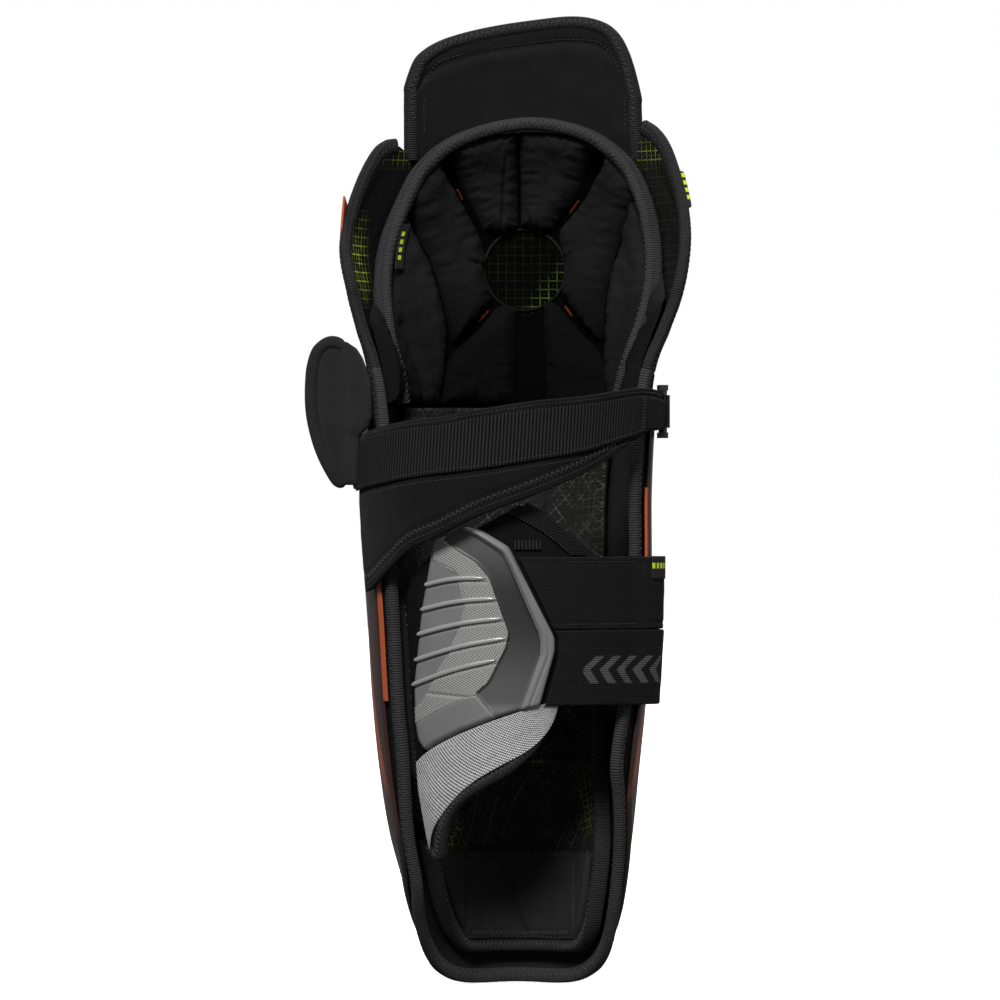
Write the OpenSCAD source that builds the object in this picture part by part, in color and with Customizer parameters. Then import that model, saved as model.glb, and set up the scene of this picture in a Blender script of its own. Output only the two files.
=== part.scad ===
// Ice hockey shin guard for the left leg: padded carrier with hard shin and knee caps,
// knee liner, thigh guard, calf flap with plate, and three straps.
// Frame: +Z up the leg, +Y to the front of the shin, +X to the wearer's right when
// seen from behind. The origin is on the leg's axis at the level of the lower edge.

/* [Overall] */
// Height from the lower edge to the top of the knee wings
guard_h = 455; // [430:5:475]
// Width across the knee wings
knee_w = 185; // [176:1:192]
// Depth from the leg axis to the front of the knee carrier
knee_d = 83; // [80:1:88]

/* [Shell] */
// Thickness of the padded carrier
carrier_t = 4; // [3:0.5:4]
// Thickness of the hard caps
cap_t = 2.4; // [1.8:0.2:2.4]
// Height of the ridge down the middle of the shin cap
ridge_h = 4; // [0:0.5:6]
// Half thickness of the sewn edge bindings
bind_h = 3.1; // [2.6:0.1:3.2]

/* [Liner] */
// Thickness of the shin liner
liner_t = 7.5; // [6:0.5:8]
// Thickness of the knee liner pads
knee_pad_t = 9; // [7:0.5:10]

/* [Calf flap] */
// Thickness of the calf flap's pad
flap_t = 6.6; // [5:0.2:7]
// Thickness of the calf plate
plate_t = 2.4; // [1.6:0.2:2.6]
// Height of the plate's raised frame
frame_t = 4.6; // [3:0.2:5]

/* [Straps] */
// Thickness of the padded calf wing
wing_t = 3.2; // [2.4:0.2:3.4]
// Thickness of the elastic straps
strap_t = 2; // [1.4:0.2:2.2]
// Radius of the loop bar that the webbing turns on
bar_r = 1.8; // [1.5:0.1:2]

/* [Thigh guard] */
// Thickness of the thigh guard
thigh_t = 6.5; // [5:0.5:7]

/* [Hidden] */

kz = guard_h / 455;
kx = knee_w / 185;
ky = knee_d / 83;

// [height, x of the middle, half width, depth to the front, depth to the back]
ST = [[-10, 1, 46, 44, 48], [0, 1, 47.5, 45, 50], [20, 1, 50.5, 49, 53], [50, 0, 55.5, 53, 57],
  [80, -2, 61.5, 56, 61], [115, -3, 66, 59, 65], [150, -3, 69.5, 61, 68], [190, -3, 72, 63, 71],
  [225, -4, 73.5, 64, 73], [260, -5, 74.5, 65, 73], [300, -3, 74.5, 65, 72], [325, -2, 76.5, 67, 72],
  [345, -1, 82.5, 72, 72], [366, 0, 88.5, 78, 73], [387, 0, 91.5, 83, 74], [408, 0.5, 91, 83, 74],
  [430, 1, 89, 79, 72], [455, 2, 86, 68, 70], [480, 2, 80, 54, 66]];

function clampi(i, n) = max(0, min(n, i));
function seek(t, z, i = 0) = (i >= len(t) - 2 || z < t[i + 1][0]) ? i : seek(t, z, i + 1);
// smooth curve through a table's rows, column c
function tang(t, i, c) = let (a = clampi(i - 1, len(t) - 1), b = clampi(i + 1, len(t) - 1))
  (t[b][c] - t[a][c]) / (t[b][0] - t[a][0]);
function smooth(t, z0, c = 1) = let (z = max(t[0][0], min(t[len(t) - 1][0], z0)), i = seek(t, z),
  h = t[i + 1][0] - t[i][0], s = (z - t[i][0]) / h, s2 = s * s, s3 = s2 * s)
  (2 * s3 - 3 * s2 + 1) * t[i][c] + (s3 - 2 * s2 + s) * h * tang(t, i, c)
  + (-2 * s3 + 3 * s2) * t[i + 1][c] + (s3 - s2) * h * tang(t, i + 1, c);
// straight lines through a table's rows
function lin(t, z0, c = 1) = let (z = max(t[0][0], min(t[len(t) - 1][0], z0)), i = seek(t, z))
  t[i][c] + (t[i + 1][c] - t[i][c]) * (z - t[i][0]) / (t[i + 1][0] - t[i][0]);
function mix(a, b, t) = a + (b - a) * t;
function ease(t0) = let (t = max(0, min(1, t0))) t * t * (3 - 2 * t);

// a point of the body surface: height z, angle th from the front towards +X, offset off outwards
function P(z, th, off = 0) = let (c = cos(th),
  x = smooth(ST, z, 1) * kx + (smooth(ST, z, 2) * kx + off) * sin(th),
  y = ((c >= 0 ? smooth(ST, z, 3) : smooth(ST, z, 4)) * ky + off) * c) [x, y, z * kz];
function unit(v) = v / norm(v);
function nrm(z, th) = let (p = P(z, th, 0), q = P(z, th, 5)) unit(q - p);
// the angle at the back whose point has that x
function backth(x, z, off = -5) = 180 - asin(max(-1, min(1, (x - smooth(ST, z, 1)) / (smooth(ST, z, 2) + off))));

// closed solid between two grids: f is the outer side, g the inner one
module slab(nu, nv, f, g) {
  n = (nu + 1) * (nv + 1);
  function o(i, j) = j * (nu + 1) + i;
  function k(i, j) = n + j * (nu + 1) + i;
  polyhedron(
    points = concat([for (j = [0:nv]) for (i = [0:nu]) f(i / nu, j / nv)],
      [for (j = [0:nv]) for (i = [0:nu]) g(i / nu, j / nv)]),
    faces = concat(
      [for (j = [0:nv - 1]) for (i = [0:nu - 1]) each [[o(i, j), o(i + 1, j + 1), o(i, j + 1)], [o(i, j), o(i + 1, j), o(i + 1, j + 1)],
        [k(i, j), k(i, j + 1), k(i + 1, j + 1)], [k(i, j), k(i + 1, j + 1), k(i + 1, j)]]],
      [for (i = [0:nu - 1]) each [[o(i + 1, 0), o(i, 0), k(i, 0)], [o(i + 1, 0), k(i, 0), k(i + 1, 0)],
        [o(i, nv), o(i + 1, nv), k(i + 1, nv)], [o(i, nv), k(i + 1, nv), k(i, nv)]]],
      [for (j = [0:nv - 1]) each [[o(0, j), o(0, j + 1), k(0, j + 1)], [o(0, j), k(0, j + 1), k(0, j)],
        [o(nu, j + 1), o(nu, j), k(nu, j)], [o(nu, j + 1), k(nu, j), k(nu, j + 1)]]]), convexity = 6);
}

// rounded tape along points p with surface normals n: half width hw, half thickness hh
module tape(p, n, hw, hh, k = 6) {
  m = len(p);
  function tn(i) = unit(p[clampi(i + 1, m - 1)] - p[clampi(i - 1, m - 1)]);
  function nn(i) = let (t = tn(i)) unit(n[i] - t * (n[i] * t));
  polyhedron(
    points = [for (i = [0:m - 1]) let (t = tn(i), u = nn(i), v = cross(t, u)) for (j = [0:k - 1])
      let (a = 360 * (j + 0.5) / k) p[i] + u * hh * cos(a) + v * hw * sin(a)],
    faces = concat([[for (j = [0:k - 1]) j]], [[for (j = [0:k - 1]) (m - 1) * k + k - 1 - j]],
      [for (i = [0:m - 2]) for (j = [0:k - 1]) let (b = (j + 1) % k) each [[i * k + j, (i + 1) * k + b, i * k + b], [i * k + j, (i + 1) * k + j, (i + 1) * k + b]]]),
    convexity = 6);
}
// points spread along a table of [angle, height] rows by smooth curves
function along(t, n, off) = [for (i = [0:n]) let (s = i / n * (len(t) - 1), q = [for (r = [0:len(t) - 1]) [r, t[r][0], t[r][1]]])
  P(smooth(q, s, 2), smooth(q, s, 1), off)];
function alongn(t, n) = [for (i = [0:n]) let (s = i / n * (len(t) - 1), q = [for (r = [0:len(t) - 1]) [r, t[r][0], t[r][1]]])
  nrm(smooth(q, s, 2), smooth(q, s, 1))];
// the same for rows of [x, height] seen from behind
function backrows(t, off) = [for (r = t) [backth(r[0], r[1], off), r[1]]];

// ---- carrier: lower edge height for each angle, and how the back edges draw in with height
ZBL = [[0, 0], [38, 0], [60, 6], [74, 16], [90, 32], [107, 52], [114, 78], [120, 118]];
ZBR = [[0, 0], [38, 0], [60, 6], [74, 16], [86, 32], [95, 50], [106, 80], [113, 100], [118, 116]];
KL = [[0, 1], [200, 1], [255, 1], [300, 0.94], [323, 0.88]];
KR = [[0, 1], [130, 1], [165, 0.955], [226, 0.935], [290, 0.93], [323, 0.895]];
thL = 120;
thR = 118;
z_split = 323;
function th_s(t0, z) = t0 * (t0 < 0 ? smooth(KL, z) : smooth(KR, z));
function zb(t0) = smooth(t0 < 0 ? ZBL : ZBR, abs(t0));
function zcar(u, v, a = -thL, b = thR, top = z_split) = mix(zb(mix(a, b, u)), top, v);
module shin_carrier() color("#202022")
  slab(34, 12, function (u, v) let (z = zcar(u, v)) P(z, th_s(mix(-thL, thR, u), z), 0),
    function (u, v) let (z = zcar(u, v)) P(z, th_s(mix(-thL, thR, u), z), -carrier_t));

// knee: top edge height for each angle
ZTK = [[-97, 370], [-90, 386], [-81, 400], [-70, 421], [-60, 438], [-54, 443], [-48, 444.5], [-42, 440], [-37, 437], [-28, 437], [0, 436],
  [38, 437], [48, 440], [52, 454], [58, 450], [66, 441], [78, 419], [90, 394], [97, 370]];
KK = [[323, 1.09], [345, 1.03], [372, 1], [460, 1]];
function zk(t0, v) = mix(z_split + 0.5, lin(ZTK, t0), v);
module knee_part(a, b, nu, nv) slab(nu, nv,
  function (u, v) let (t0 = mix(a, b, u), z = zk(t0, v)) P(z, t0 * smooth(KK, z), 0),
  function (u, v) let (t0 = mix(a, b, u), z = zk(t0, v)) P(z, t0 * smooth(KK, z), -carrier_t));
module knee_carrier() color("#202022") knee_part(-36.5, 48, 16, 10);
module knee_wing_left() color("#242426") knee_part(-97, -36.9, 12, 10);
module knee_wing_right() color("#242426") knee_part(48.4, 97, 10, 10);

EDGE_S = concat([for (z = [312, 290, 260, 230, 200, 170, 142]) [-120 * smooth(KL, z), z]],
  [for (a = [-120, -114, -107, -90, -74, -60, -38, 0, 38, 60, 74, 86, 95, 106, 113]) [a, smooth(a < 0 ? ZBL : ZBR, abs(a))]],
  [for (z = [116, 142, 170, 200, 230, 260, 290, 312]) [118 * smooth(KR, z), z]]);
module shin_binding() color("#2b2b2d") tape([for (e = EDGE_S) P(e[1], e[0], -carrier_t / 2)], [for (e = EDGE_S) nrm(e[1], e[0])], 4, bind_h);
EDGE_KL = concat([for (z = [327, 345, 360]) [-97 * smooth(KK, z), z]], [for (a = [-97, -90, -81, -70, -60, -54, -50]) [a, lin(ZTK, a)]]);
EDGE_KR = concat([for (z = [327, 345, 360]) [97 * smooth(KK, z), z]], [for (a = [97, 90, 78, 66, 58, 52]) [a, lin(ZTK, a)]]);
module knee_binding_left() color("#2b2b2d") tape(along(EDGE_KL, 16, -carrier_t / 2), alongn(EDGE_KL, 16), 4, bind_h);
module knee_binding_right() color("#2b2b2d") tape(along(EDGE_KR, 16, -carrier_t / 2), alongn(EDGE_KR, 16), 4, bind_h);

// ---- hard caps
cap_o = 0.4;
function capz(t0, v) = mix(zb(t0) + 9, 306 - 6 * ease((abs(t0) - 30) / 60), v);
function ridge(th) = ridge_h * exp(-pow(th / 13, 2)) + 1.2 * ease(1 - abs(abs(th) - 48) / 10);
module shin_cap() color("#18181a")
  slab(36, 9, function (u, v) let (t0 = mix(-113, 109, u), z = capz(t0, v), th = th_s(t0, z)) P(z, th, cap_o + cap_t + ridge(th) * ease(min(v, 1 - v) * 5)),
    function (u, v) let (t0 = mix(-113, 109, u), z = capz(t0, v), th = th_s(t0, z)) P(z, th, cap_o + ridge(th) * 0.8 * ease(min(v, 1 - v) * 5)));
function kcz(th, v) = mix(330, 434 - 10 * pow(th / 62, 2), v);
function kdome(th, v) = 5 * (1 - pow(th / 64, 2)) * ease(v * 3) * ease((1 - v) * 3) + 1.5 * ease(1 - abs(abs(th) - 34) / 8);
module knee_cap() color("#18181a")
  slab(24, 10, function (u, v) let (th = mix(-62, 62, u)) P(kcz(th, v), th, cap_o + cap_t + kdome(th, v)),
    function (u, v) let (th = mix(-62, 62, u)) P(kcz(th, v), th, cap_o + kdome(th, v) * 0.85));

module on_surface(z, th, off) translate(P(z, th, off)) let (n = nrm(z, th)) rotate([0, 90, atan2(n[1], n[0])]) children();
module rivet(l) {
  translate([0, 0, -l]) cylinder(r = 1.5, h = l + 0.4, $fn = 24);
  cylinder(r1 = 3.8, r2 = 2.4, h = 1.3, $fn = 32);
}
module shin_cap_rivets() color("silver") {
  for (z = [60, 126, 262]) for (s = [-1, 1]) on_surface(z, s * 76, cap_o + cap_t) rivet(5);
  for (s = [-1, 1]) on_surface(288, s * 60, cap_o + cap_t) rivet(5);
}
module knee_cap_rivets() color("silver")
  for (s = [-1, 1]) for (z = [345, 405]) on_surface(z, s * 57, cap_o + cap_t + kdome(57, (z - 330) / 95)) rivet(5.4);

module side_trims() color("#e8641c") {
  slab(2, 12, function (u, v) let (z = mix(150, 262, v)) P(z, th_s(mix(-116.3, -113.6, u), z), 2.6), function (u, v) let (z = mix(150, 262, v)) P(z, th_s(mix(-116.3, -113.6, u), z), 1.3));
  slab(2, 12, function (u, v) let (z = mix(150, 262, v)) P(z, th_s(110, z) + 2.2 * u, 2.6), function (u, v) let (z = mix(150, 262, v)) P(z, th_s(110, z) + 2.2 * u, 1.3));
}
module wing_trims() color("#e8641c") for (s = [-1, 1])
  slab(4, 6, function (u, v) let (z = mix(376, 416 - 12 * u, v)) P(z, s < 0 ? mix(-84, -66, u) : mix(66, 84, u), 2.4 - 0.8 * abs(2 * u - 1)),
    function (u, v) let (z = mix(376, 416 - 12 * u, v)) P(z, s < 0 ? mix(-84, -66, u) : mix(66, 84, u), 0.5));

// ---- foam inserts between carrier and liner
module shin_foam() color("#e2521a")
  slab(10, 7, function (u, v) P(mix(40, 300, v), mix(-34, 34, u), -carrier_t - 0.5), function (u, v) P(mix(40, 300, v), mix(-34, 34, u), -carrier_t - 2.5));
module knee_foam() color("#e2521a")
  slab(12, 7, function (u, v) P(mix(338, 428, v), mix(-48, 54, u), -carrier_t - 0.5), function (u, v) P(mix(338, 428, v), mix(-48, 54, u), -carrier_t - 2.5));

// ---- shin liner: back edges for each height; its left side runs back to the calf flap
LL = [[19, -76], [40, -84], [62, -92], [80, -108], [96, -117], [200, -117], [215, -112], [235, -84], [262, -66], [316, -60]];
LR = [[19, 72], [40, 80], [60, 80], [90, 68], [123, 58], [150, 54], [200, 54], [262, 56], [316, 60]];
function liner_o(z) = -carrier_t - 3.2 - 3.8 * ease((z - 426) / 28);
LZB = [[0, 26], [0.08, 21], [0.18, 19], [0.82, 19], [0.92, 21], [1, 26]];
function lz(u, v) = mix(smooth(LZB, u), 316, v);
function lth(u, z) = mix(smooth(LL, z), smooth(LR, z), u);
module shin_liner() color("#1c1d26")
  slab(20, 16, function (u, v) let (z = lz(u, v)) P(z, lth(u, z), liner_o(z)), function (u, v) let (z = lz(u, v)) P(z, lth(u, z), liner_o(z) - liner_t));
module liner_pocket() color("#1b1b1c")
  slab(12, 4, function (u, v) let (z = mix(24, 69, v)) P(z, mix(-66, 64, u), liner_o(z) - liner_t - 0.3), function (u, v) let (z = mix(24, 69, v)) P(z, mix(-66, 64, u), liner_o(z) - liner_t - 1.9));
LEDGE = concat([for (z = [76, 62, 46, 32]) [smooth(LL, z), z]], [[-68, 22], [-52, 19], [-20, 19], [20, 19], [50, 19], [64, 22]],
  [for (z = [32, 46, 62, 84, 104, 124, 150, 180, 210]) [smooth(LR, z), z]]);
module liner_binding() color("#2b2b2d") tape([for (e = LEDGE) P(e[1], e[0], liner_o(e[1]) - liner_t / 2)], [for (e = LEDGE) nrm(e[1], e[0])], 3.6, liner_t / 2 + 0.9);

// ---- knee liner: rim height for each angle
RIM = [[-76, 336], [-69, 362], [-62, 382], [-56, 399], [-49, 416], [-42, 431], [-31, 444], [-14, 452.5], [6, 456], [26, 452],
  [40, 444], [52, 431], [62, 410], [69, 384], [74, 356], [77, 336]];
function kth(u, z) = mix(-77 + 6 * ease((338 - z) / 20), 77 - 6 * ease((338 - z) / 20), u);
function pad_o(z) = liner_o(z) - 2.1;
module quadpad(a, b, c, d, t, nu = 8, nv = 7) slab(nu, nv,
  function (u, v) let (q = mix(mix(a, b, u), mix(d, c, u), v)) P(q[1], q[0], pad_o(q[1])),
  function (u, v) let (q = mix(mix(a, b, u), mix(d, c, u), v), e = ease(4 * min(u, 1 - u)) * ease(4 * min(v, 1 - v))) P(q[1], q[0], pad_o(q[1]) - t * (0.7 + 0.3 * e)));
module knee_mesh() color("#20222e")
  slab(20, 9, function (u, v) let (th = mix(-70, 70, u), z = mix(320, lin(RIM, th) - 4, v)) P(z, th, liner_o(z)),
    function (u, v) let (th = mix(-70, 70, u), z = mix(320, lin(RIM, th) - 4, v)) P(z, th, liner_o(z) - 1.1));
module knee_pad_top() color("#232325") quadpad([-13, 403], [21, 403], [37, 440], [-30, 438], knee_pad_t);
module knee_pad_left() color("#232325") quadpad([-47, 330], [-14.5, 356], [-14.5, 401], [-40, 425], knee_pad_t);
module knee_pad_right() color("#232325") quadpad([22.5, 356], [52, 330], [48, 426], [22.5, 401], knee_pad_t);
module knee_pad_bottom() color("#232325") quadpad([-38, 322], [44, 322], [20, 354], [-12, 354], knee_pad_t - 1, 12, 4);
module knee_side_pad_left() color("#272729") quadpad([-74, 322], [-49.5, 322], [-44, 422], [-57, 392], knee_pad_t - 2, 5, 10);
module knee_side_pad_right() color("#272729") quadpad([55, 322], [75, 322], [66, 390], [53, 424], knee_pad_t - 2, 5, 10);
RQ = [for (r = [0:len(RIM) - 1]) [r, RIM[r][0], RIM[r][1]]];
module knee_rim_binding() color("#2e2e30") tape([for (i = [0:40]) let (s = i / 40 * (len(RIM) - 1), z = smooth(RQ, s, 2)) P(z, smooth(RQ, s, 1), pad_o(z) - knee_pad_t / 2 + 1.2)],
  alongn(RIM, 40), 3.6, knee_pad_t / 2 + 0.4);

// ---- hook-and-loop patches and the loop that the webbing turns on
so = 4.2;
module left_loop_patch() color("#151516")
  slab(4, 3, function (u, v) P(mix(263, 288, v), mix(-107, -96, u), 3.5), function (u, v) P(mix(263, 288, v), mix(-107, -96, u), cap_o + cap_t + 0.1));
module right_loop_patch() color("#151516")
  slab(5, 5, function (u, v) P(mix(150, 224, v), mix(73, 100, u), 4.1), function (u, v) P(mix(150, 224, v), mix(73, 100, u), cap_o + cap_t + 0.1));
PIN = P(302, 98, 7.4);
module strap_anchor() color("#1d1d1e")
  slab(6, 2, function (u, v) P(mix(294, 310, v), mix(62, 90, u), 4.9), function (u, v) P(mix(294, 310, v), mix(62, 90, u), 3.1));
module strap_loop() color("#111112") translate([PIN[0], PIN[1], 0]) rotate([0, 0, 96]) {
  translate([0, 0, 289]) cylinder(r = bar_r, h = 26, $fn = 32);
  translate([9, 0, 289]) cylinder(r = 1.6, h = 26, $fn = 32);
  for (z = [288, 313]) translate([-2.2, -2.2, z]) cube([13.4, 4.4, 3]);
}
module size_tag() color("#161617")
  slab(2, 3, function (u, v) let (z = mix(378, 402, v)) P(z, mix(-60, -54, u) + 5 * v, pad_o(z) - knee_pad_t + 1.6), function (u, v) let (z = mix(378, 402, v)) P(z, mix(-60, -54, u) + 5 * v, pad_o(z) - knee_pad_t + 0.8));
module wing_tag() color("#161617")
  slab(2, 3, function (u, v) P(mix(410, 430, v), 78 - 7 * v + 1.6 * u, 1.2 + 4.5 * (1 - abs(v * 2 - 1) * 0.3)), function (u, v) P(mix(410, 430, v), 78 - 7 * v + 1.6 * u, 0.4));

// ---- thigh guard
TT = [[-56, 472], [-54.5, 481], [-51, 488], [-45, 494], [-34, 499.5], [-13, 505], [13, 509], [32, 510.5], [45, 508], [53, 502], [58.5, 491], [62, 479], [64.5, 468]];
function tx(u, v) = mix(-55.5, 64, u) + 2.5 * u * pow(1 - v, 2);
function tz(u, v) = let (x = mix(-55.5, 64, u)) mix(447.5, smooth(TT, x), v);
function ty(x, z) = 68 - 0.06 * (z - 444) - pow(x - 5, 2) / 300;
module thigh_pad() color("#232325")
  slab(20, 10, function (u, v) let (x = tx(u, v), z = tz(u, v), e = ease(5 * min(u, 1 - u)) * ease(5 * (1 - v))) [x * kx, ty(x, z) * ky + thigh_t / 2 * (0.7 + 0.3 * e), z * kz],
    function (u, v) let (x = tx(u, v), z = tz(u, v), e = ease(5 * min(u, 1 - u)) * ease(5 * (1 - v))) [x * kx, ty(x, z) * ky - thigh_t / 2 * (0.7 + 0.3 * e), z * kz]);
TB = concat([for (v = [0:0.2:0.99]) [0, v]], [for (u = [0:0.05:1]) [u, 1]], [for (v = [0.8:-0.2:-0.01]) [1, v]]);
module thigh_binding() color("#2e2e30") tape([for (q = TB) let (x = tx(q[0], q[1]), z = tz(q[0], q[1])) [x * kx, ty(x, z) * ky, z * kz]],
  [for (q = TB) let (x = tx(q[0], q[1])) unit([(x - 5) / 100, 1, 0])], 3.4, thigh_t / 2 + 0.6);

// ---- upper strap: [angle, lower edge, upper edge, lower edge of the webbing]
US = [[100, 293, 312, 293], [108, 292, 313, 292], [117, 291, 314, 291.5], [127, 285, 314, 289], [137, 278, 312.5, 286], [150, 269, 310, 281],
  [171, 257, 307, 276], [190, 247, 303, 271.5], [206, 236.5, 299, 269], [220, 229, 297, 266.5], [231, 219, 295, 264], [244, 209, 292, 261.5], [251, 207, 290, 260]];
function us(u) = mix(100.2, 251, u);
module calf_wing() color("#26262a") {
  slab(34, 6, function (u, v) let (th = us(u)) P(mix(smooth(US, th, 1), smooth(US, th, 2), v), th, so + wing_t), function (u, v) let (th = us(u)) P(mix(smooth(US, th, 1), smooth(US, th, 2), v), th, so));
  slab(4, 3, function (u, v) P(mix(262, 288, v), mix(250, 261, u), so + wing_t - 0.4), function (u, v) P(mix(262, 288, v), mix(250, 261, u), so + 0.2));
}
module webbing() color("#1f1f20")
  slab(34, 3, function (u, v) let (th = us(u)) P(mix(smooth(US, th, 3), smooth(US, th, 2) - 4.5, v), th, so + wing_t + 1.5), function (u, v) let (th = us(u)) P(mix(smooth(US, th, 3), smooth(US, th, 2) - 4.5, v), th, so + wing_t + 0.15));
module webbing_eye() color("#1f1f20") translate([PIN[0], PIN[1], 293]) difference() {
  cylinder(r = 3.4, h = 18, $fn = 40);
  translate([0, 0, -1]) cylinder(r = bar_r + 0.06, h = 20, $fn = 40);
}
module upper_hook_patch() color("#111112")
  slab(4, 3, function (u, v) P(mix(264, 287, v), mix(252, 260, u), so + 0.1), function (u, v) P(mix(264, 287, v), mix(252, 260, u), so - 0.3));

// ---- pull tab: left and right x for each height
TL = [[260, -90], [266, -96], [275, -101.5], [288, -106.5], [303, -109.5], [320, -109.5], [331, -107.5], [337, -103.5], [341, -98]];
TR = [[260, -88], [264, -87], [292, -87], [298, -89.5], [330, -90], [337, -91.5], [341, -95]];
TY = P(275, 261, 5)[1];
function tabp(u, v, d) = let (z = mix(260, 341, v), x = mix(smooth(TL, z), smooth(TR, z), u)) [x * kx, TY + d, z * kz];
module tab_pad() color("#2a2a2b") slab(8, 14, function (u, v) tabp(mix(0.12, 1, u), mix(0.06, 0.95, v), 1.9), function (u, v) tabp(mix(0.12, 1, u), mix(0.06, 0.95, v), -1.9));
TBR = concat([for (v = [0.02:0.07:0.95]) [0, v]], [[0, 0.97], [0.5, 1]]);
module tab_border() color("#303031") tape([for (q = TBR) tabp(q[0], q[1], 0) + [2.2, 0, 0]], [for (q = TBR) [0, 1, 0]], 2.8, 3.2);

// ---- calf flap seen from behind: lower and upper edge height for each angle from 236 (left) to 137 (right)
FLO = [[135, 216], [142, 192], [152, 166], [160, 147], [167, 129], [175, 120], [184, 112.5], [195, 99], [205, 86], [218, 72], [228, 68], [237, 78]];
FHI = [[135, 218.5], [139, 224], [143, 228], [155, 237], [165, 246.5], [172, 251.5], [178, 250], [184, 246.5], [196, 239], [206, 232.5], [218, 225.5], [230, 215.5], [237, 206]];
fo = -5.4;
function fpt(u, v, off) = let (th = mix(136, 236.5, u)) P(mix(smooth(FLO, th), smooth(FHI, th), v), th, off - 1.6 * ease((th - 222) / 15));
module flap_pad() color("#242427") slab(26, 9, function (u, v) fpt(u, v, fo), function (u, v) fpt(u, v, fo - flap_t));
FB = [[237, 78], [228, 68], [218, 72], [205, 86], [195, 99], [184, 112.5], [175, 120], [167, 129], [160, 147], [152, 166], [142, 192], [135, 216], [143, 228], [155, 237], [165, 246.5], [172, 251]];
module flap_binding() color("#2e2e30") tape([for (e = FB) P(e[1], e[0], fo - flap_t / 2 - 1.6 * ease((e[0] - 222) / 15))], [for (e = FB) nrm(e[1], e[0])], 3.8, flap_t / 2 + 0.25);
// calf plate: left and right x for each height
PL = [[123, -47], [129, -51.5], [136, -53.5], [157, -54], [177, -51], [213, -47], [223.5, -46], [228.5, -41], [232.5, -33], [236.5, -25], [239, -19]];
PR = [[123, -44], [128.4, -39], [132.6, -31], [140, -12.7], [145.4, 4], [148.8, 14], [160, 17], [173, 20.6], [183, 20.5], [205, 10.5], [226.7, 0], [233, -4], [237, -9], [239, -13]];
function fw(z) = 6.4 * ease((z - 146) / 6);
function ppt(x, z, off) = P(z, backth(x, z, off), off);
module calf_plate() color("#6f7072")
  slab(8, 20, function (u, v) let (z = mix(123, 239, v)) ppt(mix(lin(PR, z) - fw(z) * ease((239.5 - z) / 6) - 0.2, lin(PL, z), u), z, fo + 0.2 + plate_t),
    function (u, v) let (z = mix(123, 239, v)) ppt(mix(lin(PR, z) - fw(z) * ease((239.5 - z) / 6) - 0.2, lin(PL, z), u), z, fo + 0.2));
module plate_frame() color("#7d7e80")
  slab(3, 14, function (u, v) let (z = mix(149, 234, v)) ppt(lin(PR, z) - fw(z) * u, z, fo + 0.2 + frame_t - 1.2 * pow(abs(2 * u - 1), 3)),
    function (u, v) let (z = mix(149, 234, v)) ppt(lin(PR, z) - fw(z) * u, z, fo + 0.2));
RIBS = [[-45, 211, -15, 214.5], [-47.5, 198, -9, 204], [-49.5, 185, -6, 193.7], [-51, 171.5, -4, 183.5], [-52, 158.5, -9.5, 172]];
module plate_ribs() color("#808183") for (r = RIBS) {
  q = [for (i = [0:5]) let (t = i / 5) [mix(r[0], r[2], t), mix(r[1], r[3], t) + 1.6 * sin(180 * t)]];
  tape([for (e = q) ppt(e[0], e[1], fo + 0.2 + plate_t)], [for (e = q) nrm(e[1], backth(e[0], e[1]))], 1.7, 1.3);
}
MHI = [[-52, 121], [-47, 122.5], [-39.6, 126.6], [-31, 131], [-12.7, 138.6], [4, 144], [14, 147.4], [17, 148.2]];
MLO = [[-52, 78], [-47.5, 76], [-34, 90.5], [-8, 117], [6, 126], [13, 134], [17, 144]];
module flap_mesh() color("#b5b8b9")
  slab(14, 6, function (u, v) let (x = mix(16, -50, u)) ppt(x, mix(smooth(MLO, x), smooth(MHI, x), v), fo + 1.1), function (u, v) let (x = mix(16, -50, u)) ppt(x, mix(smooth(MLO, x), smooth(MHI, x), v), fo + 0.2));

// ---- lower straps: offset from the body surface for each angle
SO = [[74, 4.7], [102, 4.7], [114, 3.6], [126, 0.6], [138, -2.4], [150, -4.3], [158, -4.9], [170, -4.9]];
sx = 23;
th_h = backth(sx, 190, -4);
module lower_strap(z0, z1, t, lift, nu = 24) slab(nu, 4,
  function (u, v) let (th = mix(75, th_h, u)) P(mix(z0, z1, v), th, smooth(SO, th) + lift + t), function (u, v) let (th = mix(75, th_h, u)) P(mix(z0, z1, v), th, smooth(SO, th) + lift));
module strap_base() color("#1d1d1e")
  slab(4, 5, function (u, v) let (z = mix(187.6, 226, v)) ppt(mix(sx - 1.8, lin(PR, z) + 0.7, u), z, fo + 0.2 + strap_t), function (u, v) let (z = mix(187.6, 226, v)) ppt(mix(sx - 1.8, lin(PR, z) + 0.7, u), z, fo + 0.2));
module wide_strap() color("#1d1d1e") lower_strap(187.6, 226, strap_t, 0.2);
module elastic_strap() color("#1a1a1b") lower_strap(148, 187, strap_t, 0.7);
module wide_hook_patch() color("#111112")
  slab(4, 4, function (u, v) P(mix(190, 223, v), mix(76, 98, u), 4.85), function (u, v) P(mix(190, 223, v), mix(76, 98, u), 4.5));
module elastic_hook_patch() color("#111112")
  slab(4, 4, function (u, v) P(mix(152, 184, v), mix(76, 98, u), 5.3), function (u, v) P(mix(152, 184, v), mix(76, 98, u), 4.5));
module adjust_tag() color("#b7c81e")
  slab(3, 2, function (u, v) let (th = mix(104, 114, u)) P(mix(214, 226, v), th, smooth(SO, th) + strap_t + 1), function (u, v) let (th = mix(104, 114, u)) P(mix(214, 226, v), th, smooth(SO, th) + strap_t + 0.3));

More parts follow.
